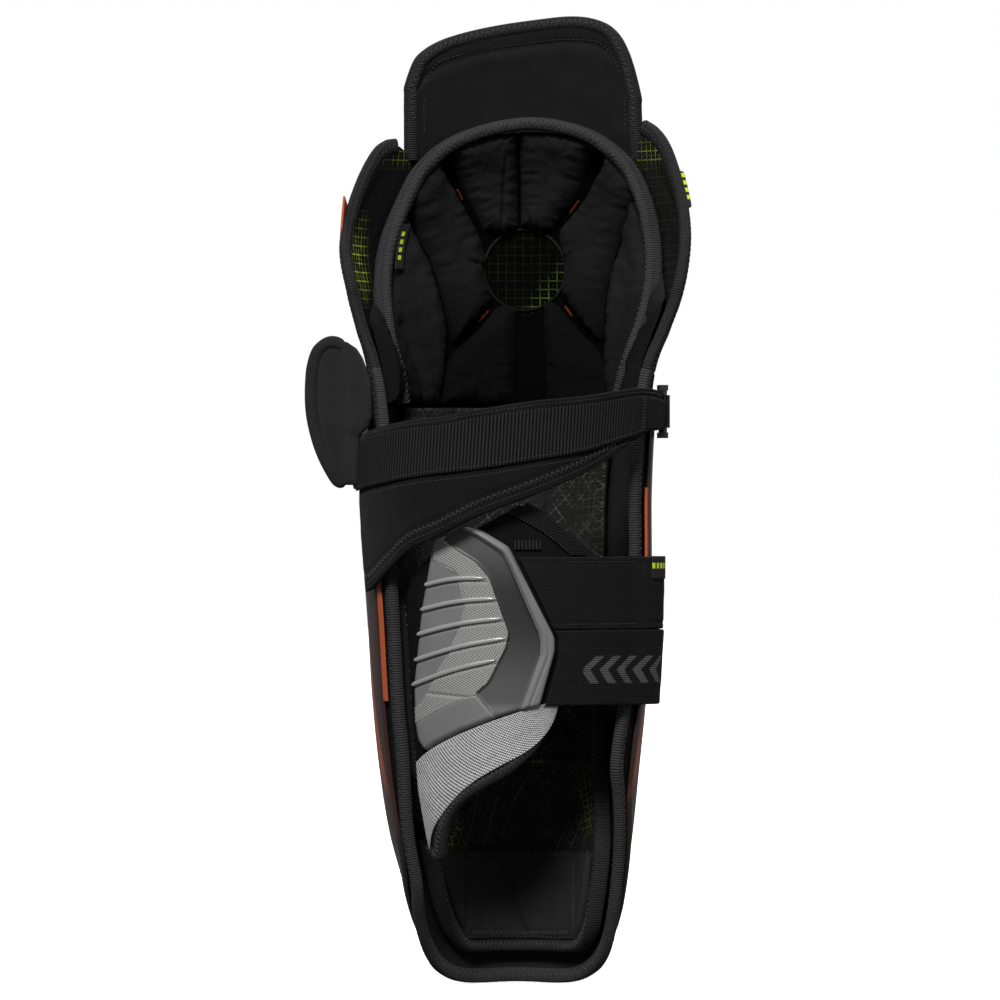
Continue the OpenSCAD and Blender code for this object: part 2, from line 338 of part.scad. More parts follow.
shin_carrier();
knee_carrier();
knee_wing_left();
knee_wing_right();
shin_binding();
knee_binding_left();
knee_binding_right();
shin_cap();
knee_cap();
shin_cap_rivets();
knee_cap_rivets();
side_trims();
wing_trims();
shin_foam();
knee_foam();
shin_liner();
liner_pocket();
liner_binding();
knee_mesh();
knee_pad_top();
knee_pad_left();
knee_pad_right();
knee_pad_bottom();
knee_side_pad_left();
knee_side_pad_right();
knee_rim_binding();
left_loop_patch();
right_loop_patch();
strap_anchor();
strap_loop();
size_tag();
wing_tag();
thigh_pad();
thigh_binding();
calf_wing();
webbing();
webbing_eye();
upper_hook_patch();
tab_pad();
tab_border();
flap_pad();
flap_mesh();
calf_plate();
plate_frame();
plate_ribs();
flap_binding();
strap_base();
wide_strap();
wide_hook_patch();
adjust_tag();
elastic_strap();
elastic_hook_patch();
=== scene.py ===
import math

import bpy
import numpy as np
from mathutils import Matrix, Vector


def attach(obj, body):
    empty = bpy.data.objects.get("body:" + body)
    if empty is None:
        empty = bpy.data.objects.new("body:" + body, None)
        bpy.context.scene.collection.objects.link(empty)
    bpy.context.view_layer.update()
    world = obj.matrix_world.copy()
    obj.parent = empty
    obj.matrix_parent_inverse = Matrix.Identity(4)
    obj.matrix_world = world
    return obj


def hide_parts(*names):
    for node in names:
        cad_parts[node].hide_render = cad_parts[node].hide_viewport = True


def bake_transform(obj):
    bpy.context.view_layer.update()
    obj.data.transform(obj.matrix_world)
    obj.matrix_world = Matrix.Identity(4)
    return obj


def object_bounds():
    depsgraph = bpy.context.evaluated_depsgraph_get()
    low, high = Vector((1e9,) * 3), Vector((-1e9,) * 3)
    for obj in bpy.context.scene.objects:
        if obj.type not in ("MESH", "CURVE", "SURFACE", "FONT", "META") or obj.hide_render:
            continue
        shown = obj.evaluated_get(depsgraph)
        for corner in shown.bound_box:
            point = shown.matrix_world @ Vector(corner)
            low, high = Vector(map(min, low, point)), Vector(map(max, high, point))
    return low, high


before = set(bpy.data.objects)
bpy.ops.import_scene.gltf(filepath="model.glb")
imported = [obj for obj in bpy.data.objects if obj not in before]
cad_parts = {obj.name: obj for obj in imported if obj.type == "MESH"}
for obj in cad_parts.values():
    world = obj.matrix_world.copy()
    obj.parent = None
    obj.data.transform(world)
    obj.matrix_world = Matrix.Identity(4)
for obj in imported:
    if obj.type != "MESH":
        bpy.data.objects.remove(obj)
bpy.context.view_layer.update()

# ------------------------------------------------------------------ body surface, as in the CAD
ST = np.array([[-10, 1, 46, 44, 48], [0, 1, 47.5, 45, 50], [20, 1, 50.5, 49, 53], [50, 0, 55.5, 53, 57],
               [80, -2, 61.5, 56, 61], [115, -3, 66, 59, 65], [150, -3, 69.5, 61, 68], [190, -3, 72, 63, 71],
               [225, -4, 73.5, 64, 73], [260, -5, 74.5, 65, 73], [300, -3, 74.5, 65, 72], [325, -2, 76.5, 67, 72],
               [345, -1, 82.5, 72, 72], [366, 0, 88.5, 78, 73], [387, 0, 91.5, 83, 74], [408, .5, 91, 83, 74],
               [430, 1, 89, 79, 72], [455, 2, 86, 68, 70], [480, 2, 80, 54, 66]], float)


def herm(t, x, c=1):
    """Smooth curve through the rows of table t, column c."""
    t = np.asarray(t, float)
    x = np.clip(np.asarray(x, float), t[0, 0], t[-1, 0])
    n = len(t) - 1
    i = np.clip(np.searchsorted(t[:, 0], x, side="right") - 1, 0, n - 1)

    def tg(k):
        a, b = np.maximum(0, k - 1), np.minimum(n, k + 1)
        return (t[b, c] - t[a, c]) / (t[b, 0] - t[a, 0])

    h = t[i + 1, 0] - t[i, 0]
    s = (x - t[i, 0]) / h
    s2, s3 = s * s, s * s * s
    return ((2 * s3 - 3 * s2 + 1) * t[i, c] + (s3 - 2 * s2 + s) * h * tg(i)
            + (-2 * s3 + 3 * s2) * t[i + 1, c] + (s3 - s2) * h * tg(i + 1))


def lin(t, x, c=1):
    t = np.asarray(t, float)
    return np.interp(x, t[:, 0], t[:, c])


def mix(a, b, t):
    return a + (b - a) * t


def ease(t):
    t = np.clip(t, 0, 1)
    return t * t * (3 - 2 * t)


def P(z, th, off=0.0):
    z, th, off = np.broadcast_arrays(np.asarray(z, float), np.asarray(th, float), np.asarray(off, float))
    r = np.radians(th)
    c = np.cos(r)
    return np.stack([herm(ST, z, 1) + (herm(ST, z, 2) + off) * np.sin(r),
                     (np.where(c >= 0, herm(ST, z, 3), herm(ST, z, 4)) + off) * c, z], -1)


def unit(v):
    return v / np.maximum(np.linalg.norm(v, axis=-1, keepdims=True), 1e-9)


def NR(z, th):
    return unit(P(z, th, 5) - P(z, th, 0))


def backth(x, z, off=-5.0):
    """The angle, at the back, of the point with that x."""
    return 180 - np.degrees(np.arcsin(np.clip((x - herm(ST, z, 1)) / (herm(ST, z, 2) + off), -1, 1)))


def frontth(x, z, off=-14.0):
    return np.degrees(np.arcsin(np.clip((x - herm(ST, z, 1)) / (herm(ST, z, 2) + off), -1, 1)))


# ------------------------------------------------------------------ smooth repeatable noise
def _hash(i, j, seed):
    n = (i * 374761393 + j * 668265263 + seed * 1442695041) & 0xFFFFFFFF
    n = ((n ^ (n >> 13)) * 1274126177) & 0xFFFFFFFF
    return ((n ^ (n >> 16)) & 0xFFFF) / 65535.0


def noise2(x, y, seed=1):
    x, y = np.asarray(x, float), np.asarray(y, float)
    i, j = np.floor(x).astype(np.int64), np.floor(y).astype(np.int64)
    fx, fy = x - i, y - j
    fx, fy = fx * fx * (3 - 2 * fx), fy * fy * (3 - 2 * fy)
    a, b = _hash(i, j, seed), _hash(i + 1, j, seed)
    c, d = _hash(i, j + 1, seed), _hash(i + 1, j + 1, seed)
    return mix(mix(a, b, fx), mix(c, d, fx), fy) * 2 - 1


def fbm(x, y, seed=1, o=3):
    return sum(noise2(x * 2 ** k, y * 2 ** k, seed + k) * .5 ** k for k in range(o))


# ------------------------------------------------------------------ meshes (all lengths in mm)
ALL = {}


def make(name, V, quads, tris=None, uv=None, mats=(), mi=None, mit=None, body=None, rep=(), zone=None, flat=False):
    V = np.asarray(V, float)
    quads = np.asarray(quads, np.int64).reshape(-1, 4)
    tris = np.zeros((0, 3), np.int64) if tris is None else np.asarray(tris, np.int64).reshape(-1, 3)
    # face outwards: a closed mesh has a positive volume
    allt = np.concatenate([quads[:, [0, 1, 2]], quads[:, [0, 2, 3]], tris])
    c = V - V.mean(0)
    vol = np.einsum("ij,ij->i", c[allt[:, 0]], np.cross(c[allt[:, 1]], c[allt[:, 2]])).sum() / 6
    if vol < 0:
        quads, tris = quads[:, ::-1], tris[:, ::-1]
    me = bpy.data.meshes.new(name)
    nq, nt = len(quads), len(tris)
    me.vertices.add(len(V))
    me.vertices.foreach_set("co", (V * .001).astype(np.float32).ravel())
    loops = np.concatenate([quads.ravel(), tris.ravel()])
    me.loops.add(len(loops))
    me.loops.foreach_set("vertex_index", loops.astype(np.int32))
    me.polygons.add(nq + nt)
    start = np.concatenate([np.arange(nq) * 4, nq * 4 + np.arange(nt) * 3]).astype(np.int32)
    me.polygons.foreach_set("loop_start", start)
    me.polygons.foreach_set("loop_total", np.concatenate([np.full(nq, 4), np.full(nt, 3)]).astype(np.int32))
    if mi is not None:
        m_all = np.concatenate([np.broadcast_to(mi, (nq,)), np.broadcast_to(0 if mit is None else mit, (nt,))])
        me.polygons.foreach_set("material_index", m_all.astype(np.int32))
    me.update(calc_edges=True)
    me.validate()
    if uv is not None:
        layer = me.uv_layers.new(name="UVMap")
        li = np.zeros(len(me.loops), np.int32)
        me.loops.foreach_get("vertex_index", li)
        layer.data.foreach_set("uv", np.asarray(uv, float)[li].astype(np.float32).ravel())
    if zone is not None:
        at = me.attributes.new("zone", "FLOAT", "POINT")
        at.data.foreach_set("value", np.asarray(zone, float).astype(np.float32))
    me.polygons.foreach_set("use_smooth", np.full(len(me.polygons), not flat))
    for m in (mats if isinstance(mats, (list, tuple)) else [mats]):
        me.materials.append(m)
    o = bpy.data.objects.new(name, me)
    bpy.context.scene.collection.objects.link(o)
    if body:
        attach(o, body)
    if rep:
        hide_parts(*rep)
    ALL[name] = o
    return o


def quads_grid(r, c, off=0):
    """Quads of a grid with r rows and c columns of vertices."""
    i = np.arange(c - 1)[None, :] + np.arange(r - 1)[:, None] * c + off
    return np.stack([i, i + 1, i + c + 1, i + c], -1).reshape(-1, 4)


def steps(n, e, k=4):
    """Values from 0 to 1 that crowd into both ends, for a rounded edge of width e."""
    a = e * (1 - np.cos(np.linspace(0, math.pi / 2, k + 1)))
    return np.unique(np.round(np.concatenate([a, np.linspace(e, 1 - e, n + 1), 1 - a]), 9))


def arcuv(T):
    """Lengths along a grid of points, in mm, as texture coordinates."""
    du = np.linalg.norm(np.diff(T, axis=1), axis=2).mean(0)
    dv = np.linalg.norm(np.diff(T, axis=0), axis=2).mean(1)
    U = np.concatenate([[0], np.cumsum(du)])
    W = np.concatenate([[0], np.cumsum(dv)])
    uu, vv = np.meshgrid(U, W)
    return np.stack([uu, vv], -1)


def slab(name, pos, nu, nv, t, eu=.03, ev=.03, mid=0.0, po=None, pi_=None, mats=(), body="shell", rep=(), slot=None,
         zone=None, split=None, k=4, build=True, uvf=None):
    """A sheet of thickness t with rounded edges. pos(u, v, off) gives its points. po and pi_ add height outside and inside.
    mats are outer, inner and, if there is a third, edge."""
    uu, vv = np.meshgrid(steps(nu, eu, k), steps(nv, ev, k))
    r, c = uu.shape
    du = np.clip(np.minimum(uu, 1 - uu) / eu, 0, 1)
    dv = np.clip(np.minimum(vv, 1 - vv) / ev, 0, 1)
    m = np.sqrt(np.clip(1 - (1 - du) ** 2, 0, 1)) * np.sqrt(np.clip(1 - (1 - dv) ** 2, 0, 1))
    ho = t / 2 * m + (po(uu, vv) * m if po else 0)
    hi = t / 2 * m + (pi_(uu, vv) * m if pi_ else 0)
    midv = mid(uu, vv) if callable(mid) else mid
    A, B = pos(uu, vv, midv + ho), pos(uu, vv, midv - hi)
    uv = arcuv(pos(uu, vv, midv + 0 * uu)) if uvf is None else np.stack(uvf(uu, vv), -1)
    V = np.concatenate([A.reshape(-1, 3), B.reshape(-1, 3)])
    UV = np.concatenate([uv.reshape(-1, 2)] * 2)
    qa = quads_grid(r, c)
    qb = quads_grid(r, c, r * c)[:, ::-1].copy()
    border = np.zeros((r, c), bool)
    border[0], border[-1], border[:, 0], border[:, -1] = True, True, True, True
    remap = np.arange(2 * r * c)
    bi = np.flatnonzero(border.ravel())
    remap[bi + r * c] = bi
    qb = remap[qb]
    used = np.unique(np.concatenate([qa.ravel(), qb.ravel()]))
    back = np.full(2 * r * c, -1)
    back[used] = np.arange(len(used))
    quads = back[np.concatenate([qa, qb])]
    V, UV = V[used], UV[used]
    edge = (np.minimum(du, dv) < .999)
    fe = edge.ravel()[qa].any(1)
    mi = np.concatenate([np.zeros(len(qa)), np.ones(len(qb))]).astype(int)
    mats = list(mats) if isinstance(mats, (list, tuple)) else [mats]
    if len(mats) == 1:
        mi[:] = 0
    if len(mats) > 2:
        mi[np.concatenate([fe, fe])] = 2
    z = None
    if zone is not None:
        zz = zone(uu, vv).ravel()
        z = np.concatenate([zz, zz])[used]
    if not build:
        return V, quads, UV, mi, z
    return make(name, V, quads, uv=UV, mats=mats, mi=mi, body=body, rep=rep, zone=z)


def spline(pts, step=1.5, closed=False):
    """Points every step mm along a smooth curve through pts."""
    pts = np.asarray(pts, float)
    if closed:
        pts = np.concatenate([pts, pts[:1]])
    d = np.concatenate([[0], np.cumsum(np.sqrt(np.linalg.norm(np.diff(pts, axis=0), axis=1)))])
    t = np.column_stack([d, pts])
    f = np.linspace(0, d[-1], max(60, len(pts) * 24))
    dense = np.stack([herm(t, f, c) for c in range(1, t.shape[1])], -1)
    L = np.concatenate([[0], np.cumsum(np.linalg.norm(np.diff(dense, axis=0), axis=1))])
    n = max(3, int(L[-1] / step) + 1)
    s = np.linspace(0, L[-1], n)
    return np.stack([np.interp(s, L, dense[:, c]) for c in range(dense.shape[1])], -1)


def rounded(pts, r=3.0, step=.6, closed=False):
    """Straight lines through pts with softly rounded corners."""
    pts = np.asarray(pts, float)
    n = len(pts)
    out = []
    for i in range(n if closed else n - 1):
        a, b = pts[i], pts[(i + 1) % n]
        L = np.linalg.norm(b - a)
        ra = min(r, L * .45) if (closed or i > 0) else 0
        rb = min(r, L * .45) if (closed or i < n - 2) else 0
        k = max(2, int((L - ra - rb) / step) + 1)
        out.append(a + (b - a) * np.linspace(ra / L, 1 - rb / L, k)[:, None])
        if closed or i < n - 2:
            c = pts[(i + 2) % n]
            L2 = np.linalg.norm(c - b)
            rc = min(r, L2 * .45)
            p0, p2 = b + (a - b) * rb / L, b + (c - b) * rc / L2
            t = np.linspace(0, 1, 8)[1:-1, None]
            out.append((1 - t) ** 2 * p0 + 2 * t * (1 - t) * b + t * t * p2)
    return np.concatenate(out)


def path_on(pts, off, step=1.5, back=False, offth=None):
    """A curve on the body surface. pts are (angle, height), or (x, height) seen from behind."""
    pts = np.asarray(pts, float)
    if back:
        pts = np.column_stack([backth(pts[:, 0], pts[:, 1], -6 if offth is None else offth), pts[:, 1]])
    a = pts.copy()
    a[:, 0] *= 1.25  # about mm round the leg, so that steps stay even
    s = spline(a, step)
    th, z = s[:, 0] / 1.25, s[:, 1]
    o = off(th, z) if callable(off) else off
    return P(z, th, o), NR(z, th), th, z


def frames(p, n):
    t = unit(np.gradient(p, axis=0))
    n = unit(n - t * (n * t).sum(-1, keepdims=True))
    return t, n, np.cross(t, n)


def smoothn(n, k=3):
    for _ in range(k):
        m = n.copy()
        m[1:-1] = (n[:-2] + n[1:-1] * 2 + n[2:]) / 4
        n = unit(m)
    return n


def oval(hw, hh, k=20, e=.75):
    a = np.linspace(0, 2 * math.pi, k, endpoint=False)
    c, s = np.cos(a), np.sin(a)
    return np.column_stack([hw * np.sign(c) * np.abs(c) ** e, hh * np.sign(s) * np.abs(s) ** e])


def sweep(name, p, n, prof, mats, body="shell", rep=(), scale=None, wob=0.0, seed=3, build=True):
    t, n, b = frames(p, smoothn(n))
    m, k = len(p), len(prof)
    sc = np.ones((m, 2)) if scale is None else np.asarray(scale)
    L = np.concatenate([[0], np.cumsum(np.linalg.norm(np.diff(p, axis=0), axis=1))])
    w = 1 + wob * fbm(L / 9.0, L * 0 + .5, seed)[:, None]
    V = p[:, None] + b[:, None] * (prof[None, :, :1] * sc[:, None, :1]) + n[:, None] * (prof[None, :, 1:] * (sc[:, 1:] * w)[:, None])
    around = np.concatenate([[0], np.cumsum(np.linalg.norm(np.diff(prof, axis=0), axis=1))])
    UV = np.stack(np.broadcast_arrays(L[:, None], around[None, :]), -1)
    i = np.arange(m - 1)[:, None] * k
    j = np.arange(k)[None, :]
    jj = (j + 1) % k
    quads = np.stack([i + j, i + jj, i + k + jj, i + k + j], -1).reshape(-1, 4)
    V = np.concatenate([V.reshape(-1, 3), [p[0], p[-1]]])
    UV = np.concatenate([UV.reshape(-1, 2), [[0, 0], [L[-1], 0]]])
    j = np.arange(k)
    tris = np.concatenate([np.column_stack([(j + 1) % k, j, np.full(k, m * k)]),
                           np.column_stack([(m - 1) * k + j, (m - 1) * k + (j + 1) % k, np.full(k, m * k + 1)])])
    if not build:
        return V, quads, tris, UV
    return make(name, V, quads, tris, UV, mats, body=body, rep=rep)


def stitches(name, runs, mat, body="shell"):
    """Thread as real loops. runs are (path, normals, side, lift, kind, pitch, amp, radius)."""
    VV, QQ, TT, o = [], [], [], 0
    k = 5
    ang = np.linspace(0, 2 * math.pi, k, endpoint=False)
    for p, n, side, lift, kind, pitch, amp, rad in runs:
        t, nn, b = frames(p, smoothn(n))
        L = np.concatenate([[0], np.cumsum(np.linalg.norm(np.diff(p, axis=0), axis=1))])

        def at(s):
            return (np.stack([np.interp(s, L, p[:, c]) for c in range(3)], -1),
                    unit(np.stack([np.interp(s, L, nn[:, c]) for c in range(3)], -1)),
                    unit(np.stack([np.interp(s, L, b[:, c]) for c in range(3)], -1)))

        cnt = int(L[-1] / pitch)
        if cnt < 1:
            continue
        s0 = (np.arange(cnt) + .5) * L[-1] / cnt
        step = L[-1] / cnt
        if kind == "zig":
            sg = np.where(np.arange(cnt) % 2 == 0, 1.0, -1.0)
            sa, sb, ba, bb = s0 - step * .46, s0 + step * .46, side - amp * sg, side + amp * sg
        elif kind == "run":
            sa, sb, ba, bb = s0 - step * .34, s0 + step * .34, side + 0 * s0, side + 0 * s0
        else:  # bars across
            sa, sb, ba, bb = s0, s0 + .01, side - amp + 0 * s0, side + amp + 0 * s0
        rings = []
        for f, h, rr in ((0, -.9, .55), (.18, .15, 1), (.5, .55, 1.05), (.82, .15, 1), (1, -.9, .55)):
            q, nq, bq = at(mix(sa, sb, f))
            c = q + bq * mix(ba, bb, f)[:, None] + nq * (lift + h * rad)
            rings.append((c, nq))
        d = unit(rings[-1][0] - rings[0][0])
        R = []
        for (c, nq), rr in zip(rings, (.55, 1, 1.05, 1, .55)):
            w = unit(np.cross(d, nq))
            u = np.cross(w, d)
            R.append(c[:, None] + rad * rr * (w[:, None] * np.cos(ang)[None, :, None] + u[:, None] * np.sin(ang)[None, :, None]))
        V = np.stack(R, 1)  # stitch, ring, k, 3
        base = (np.arange(cnt) * 5 * k)[:, None, None]
        i = np.arange(4)[None, :, None] * k
        j = np.arange(k)[None, None, :]
        jj = (j + 1) % k
        q = np.stack(np.broadcast_arrays(base + i + j, base + i + jj, base + i + k + jj, base + i + k + j), -1).reshape(-1, 4)
        VV.append(V.reshape(-1, 3))
        QQ.append(q + o)
        cap = []
        for j in range(1, k - 1):
            cap.append(np.column_stack([base.ravel(), base.ravel() + j + 1, base.ravel() + j]))
            cap.append(np.column_stack([base.ravel() + 4 * k, base.ravel() + 4 * k + j, base.ravel() + 4 * k + j + 1]))
        TT.append(np.concatenate(cap) + o)
        o += len(VV[-1])
    V = np.concatenate(VV)
    uv = np.column_stack([V[:, 0] + V[:, 1], V[:, 2]])
    return make(name, V, np.concatenate(QQ), np.concatenate(TT), uv, mat, body=body)


def dist_poly(X, Y, pl):
    """Distance from points to a polyline, and the place along it."""
    pl = np.asarray(pl, float)
    best, along, run = np.full(np.shape(X), 1e9), np.zeros(np.shape(X)), 0.0
    for (x0, y0), (x1, y1) in zip(pl[:-1], pl[1:]):
        dx, dy = x1 - x0, y1 - y0
        L = math.hypot(dx, dy)
        f = np.clip(((X - x0) * dx + (Y - y0) * dy) / (L * L), 0, 1)
        d = np.hypot(X - x0 - f * dx, Y - y0 - f * dy)
        near = d < best
        best, along = np.where(near, d, best), np.where(near, run + f * L, along)
        run += L
    return best, along


def inside_poly(X, Y, pl):
    pl = np.asarray(pl, float)
    r = np.zeros(np.shape(X), bool)
    for (x0, y0), (x1, y1) in zip(pl, np.roll(pl, -1, 0)):
        c = (y0 > Y) != (y1 > Y)
        with np.errstate(divide="ignore", invalid="ignore"):
            r ^= c & (X < (x1 - x0) * (Y - y0) / (y1 - y0 + 1e-12) + x0)
    return r


# ------------------------------------------------------------------ materials
class Mat:
    def __init__(s, name):
        s.m = bpy.data.materials.new(name)
        s.m.use_nodes = True
        s.nt = s.m.node_tree
        s.b = s.nt.nodes["Principled BSDF"]
        s._tc = None

    def node(s, kind, **kw):
        n = s.nt.nodes.new(kind)
        for k, v in kw.items():
            setattr(n, k, v)
        return n

    def put(s, sock, v):
        if isinstance(v, bpy.types.NodeSocket):
            s.nt.links.new(v, sock)
        else:
            sock.default_value = v

    def mt(s, op, a, b=None, c=None, clamp=False):
        n = s.node("ShaderNodeMath", operation=op, use_clamp=clamp)
        for i, v in enumerate((a, b, c)):
            if v is not None:
                s.put(n.inputs[i], v)
        return n.outputs[0]

    def tc(s):
        if s._tc is None:
            s._tc = s.node("ShaderNodeTexCoord")
        return s._tc

    def uv(s):
        sp = s.node("ShaderNodeSeparateXYZ")
        s.nt.links.new(s.tc().outputs["UV"], sp.inputs[0])
        return sp.outputs[0], sp.outputs[1]

    def mm(s):
        """The object's own coordinates in mm."""
        k = s.node("ShaderNodeVectorMath", operation="MULTIPLY")
        s.nt.links.new(s.tc().outputs["Object"], k.inputs[0])
        k.inputs[1].default_value = (1000, 1000, 1000)
        sp = s.node("ShaderNodeSeparateXYZ")
        s.nt.links.new(k.outputs[0], sp.inputs[0])
        return k.outputs[0], sp.outputs[0], sp.outputs[1], sp.outputs[2]

    def noise(s, scale, detail=3, rough=.55, vec=None):
        n = s.node("ShaderNodeTexNoise")
        n.inputs["Scale"].default_value = scale
        n.inputs["Detail"].default_value = detail
        n.inputs["Roughness"].default_value = rough
        s.nt.links.new(vec if vec is not None else s.mm()[0], n.inputs["Vector"])
        return n.outputs["Fac"]

    def zone(s):
        a = s.node("ShaderNodeAttribute", attribute_name="zone")
        return a.outputs["Fac"]

    def mixc(s, f, a, b):
        n = s.node("ShaderNodeMix", data_type="RGBA")
        s.put(n.inputs[0], f)
        for i, v in ((6, a), (7, b)):
            s.put(n.inputs[i], v if isinstance(v, bpy.types.NodeSocket) else col4(v))
        return n.outputs[2]

    def step(s, x, a, b):
        """0 below a, 1 above b, smooth between."""
        n = s.node("ShaderNodeMapRange", interpolation_type="SMOOTHSTEP")
        s.put(n.inputs[0], x)
        n.inputs[1].default_value, n.inputs[2].default_value = a, b
        return n.outputs[0]

    def bump(s, h, dist, strength=1.0, normal=None):
        n = s.node("ShaderNodeBump")
        n.inputs["Strength"].default_value = strength
        n.inputs["Distance"].default_value = dist * .001
        s.nt.links.new(h, n.inputs["Height"])
        if normal is not None:
            s.nt.links.new(normal, n.inputs["Normal"])
        return n.outputs[0]

    def done(s, color, rough, normal=None, spec=.2, **kw):
        s.put(s.b.inputs["Base Color"], color if isinstance(color, bpy.types.NodeSocket) else col4(color))
        s.put(s.b.inputs["Roughness"], rough)
        s.b.inputs["Specular IOR Level"].default_value = spec
        if normal is not None:
            s.nt.links.new(normal, s.b.inputs["Normal"])
        for k, v in kw.items():
            s.b.inputs[k.replace("_", " ")].default_value = v
        return s.m


def col4(v):
    if isinstance(v, (int, float)):
        return (v, v, v, 1)
    return (v[0], v[1], v[2], 1)


def mul(c, k):
    return tuple(x * k for x in (c if not isinstance(c, (int, float)) else (c, c, c)))


TAU = 2 * math.pi


def pattern(s, kind, p, u, v):
    """Height from 0 to 1 of a weave or knit whose repeat is p mm."""
    w = TAU / p
    sn = lambda x: s.mt("SINE", x)
    if kind == "plain":
        return s.mt("MULTIPLY_ADD", s.mt("MULTIPLY", sn(s.mt("MULTIPLY", u, w)), sn(s.mt("MULTIPLY", v, w))), .5, .5)
    if kind == "twill":
        d = s.mt("ADD", s.mt("MULTIPLY", u, 1.0), s.mt("MULTIPLY", v, .8))
        a = s.mt("MULTIPLY_ADD", sn(s.mt("MULTIPLY", d, w)), .5, .5)
        e = s.mt("MULTIPLY_ADD", sn(s.mt("MULTIPLY", s.mt("SUBTRACT", u, v), w * 1.4)), .15, .85)
        return s.mt("MULTIPLY", a, e)
    if kind == "jersey":
        tri = s.mt("ABSOLUTE", s.mt("SUBTRACT", s.mt("FRACT", s.mt("DIVIDE", u, p)), .5))
        a = sn(s.mt("MULTIPLY", s.mt("ADD", v, s.mt("MULTIPLY", tri, p * 1.2)), w * 1.25))
        g = s.mt("MULTIPLY_ADD", s.mt("COSINE", s.mt("MULTIPLY", u, w)), .2, .8)
        return s.mt("MULTIPLY", s.mt("MULTIPLY_ADD", a, .5, .5), g)
    if kind == "rib":  # ribs that run along u
        a = s.mt("ABSOLUTE", sn(s.mt("MULTIPLY", v, w * .5)))
        b = s.mt("MULTIPLY_ADD", sn(s.mt("MULTIPLY", u, w * 2.2)), .12, .88)
        return s.mt("MULTIPLY", s.mt("POWER", a, .7), b)
    if kind == "ribx":  # ribs that run along v
        return pattern(s, "rib", p, v, u)
    if kind == "mesh":  # round holes in two interleaved rows
        a = s.mt("MULTIPLY", s.mt("COSINE", s.mt("MULTIPLY", u, w)), s.mt("COSINE", s.mt("MULTIPLY", v, w * .8)))
        return s.mt("SUBTRACT", 1.0, s.step(a, .35, .75))
    if kind == "grid":  # thick threads with square holes
        a = s.mt("MAXIMUM", s.mt("COSINE", s.mt("MULTIPLY", u, w)), s.mt("COSINE", s.mt("MULTIPLY", v, w)))
        return s.step(a, .2, .8)
    raise ValueError(kind)


def fabric(name, col, kind="plain", p=.8, bump=.2, rough=.88, dark=.4, var=.3, spec=.12, sheen=.0, fleck=0.0, obj=False,
           accent=None, ac=(.2, .5, .02), accent2=None, ac2=(.2, .5, .02), painted_shade_ramp=None):
    """A woven, knitted or perforated cloth. accent(s, u, v, h) gives where colour ac shows."""
    s = Mat(name)
    vec, x, y, z = s.mm()
    u, v = (x, z) if obj else s.uv()
    h = pattern(s, kind, p, u, v)
    if not isinstance(col, tuple) and col < .05:
        spec *= .5
    big = s.noise(.035, 3, .6, vec)
    fine = s.noise(2.2, 2, .7, vec)
    shade = s.mt("MULTIPLY_ADD", h, 1 - dark, dark)
    shade = s.mt("MULTIPLY", shade, s.mt("MULTIPLY_ADD", big, var * 2, 1 - var))
    shade = s.mt("MULTIPLY", shade, s.mt("MULTIPLY_ADD", fine, .5, .75))
    # Painted shade: the colour darkens towards the piece's lower end, below the given heights, for the shadow that
    # falls low in the knee's hollow.
    if painted_shade_ramp:
        shade = s.mt("MULTIPLY", shade, s.mt("MULTIPLY_ADD", s.step(z, painted_shade_ramp[0], painted_shade_ramp[1]), 1 - painted_shade_ramp[2], painted_shade_ramp[2]))
    c = s.mixc(shade, mul(col, .03), mul(col, 1.35))
    if accent is not None:
        c = s.mixc(accent(s, u, v, h), c, ac)
    if accent2 is not None:
        c = s.mixc(accent2(s, u, v, h), c, ac2)
    if fleck:
        f = s.step(s.noise(3.1, 1, .4, vec), .72, .78)
        c = s.mixc(s.mt("MULTIPLY", f, fleck), c, (.35, .35, .35))
    hh = s.mt("ADD", h, s.mt("MULTIPLY", fine, .35))
    n = s.bump(hh, bump)
    n = s.bump(s.noise(.13, 3, .62, vec), .75, .9, n)
    r = s.mt("MULTIPLY_ADD", fine, .14, rough - .07)
    kw = {}
    if sheen:
        kw = {"Sheen_Weight": sheen, "Sheen_Roughness": .45}
    return s.done(c, r, n, spec, **kw)


def plastic(name, col, rough=.3, spec=.5, coat=0.0, grain=.6, bump=.02, var=.12, wear=.0):
    s = Mat(name)
    vec, x, y, z = s.mm()
    f = s.noise(grain, 4, .6, vec)
    g = s.noise(.03, 3, .5, vec)
    c = s.mixc(s.mt("MULTIPLY_ADD", g, var * 2, .5 - var, clamp=True), mul(col, .85), mul(col, 1.18))
    if wear:
        k = s.step(s.noise(.5, 6, .75, vec), .62, .7)
        c = s.mixc(s.mt("MULTIPLY", k, wear), c, mul(col, 2.2))
    n = s.bump(f, bump)
    n = s.bump(s.noise(.05, 2, .5, vec), .25, .3, n)
    r = s.mt("MULTIPLY_ADD", f, .16, rough - .08)
    kw = {"Coat_Weight": coat, "Coat_Roughness": .08} if coat else {}
    return s.done(c, r, n, spec, **kw)


BLK = .012


def thread(name, col):
    s = Mat(name)
    vec, x, y, z = s.mm()
    a = s.mt("MULTIPLY_ADD", s.mt("SINE", s.mt("MULTIPLY", s.mt("ADD", s.mt("ADD", x, y), z), 14.0)), .5, .5)
    c = s.mixc(s.mt("MULTIPLY_ADD", a, .8, .1), mul(col, .45), mul(col, 1.2))
    return s.done(c, s.mt("MULTIPLY_ADD", a, .2, .45), s.bump(a, .06), .35)


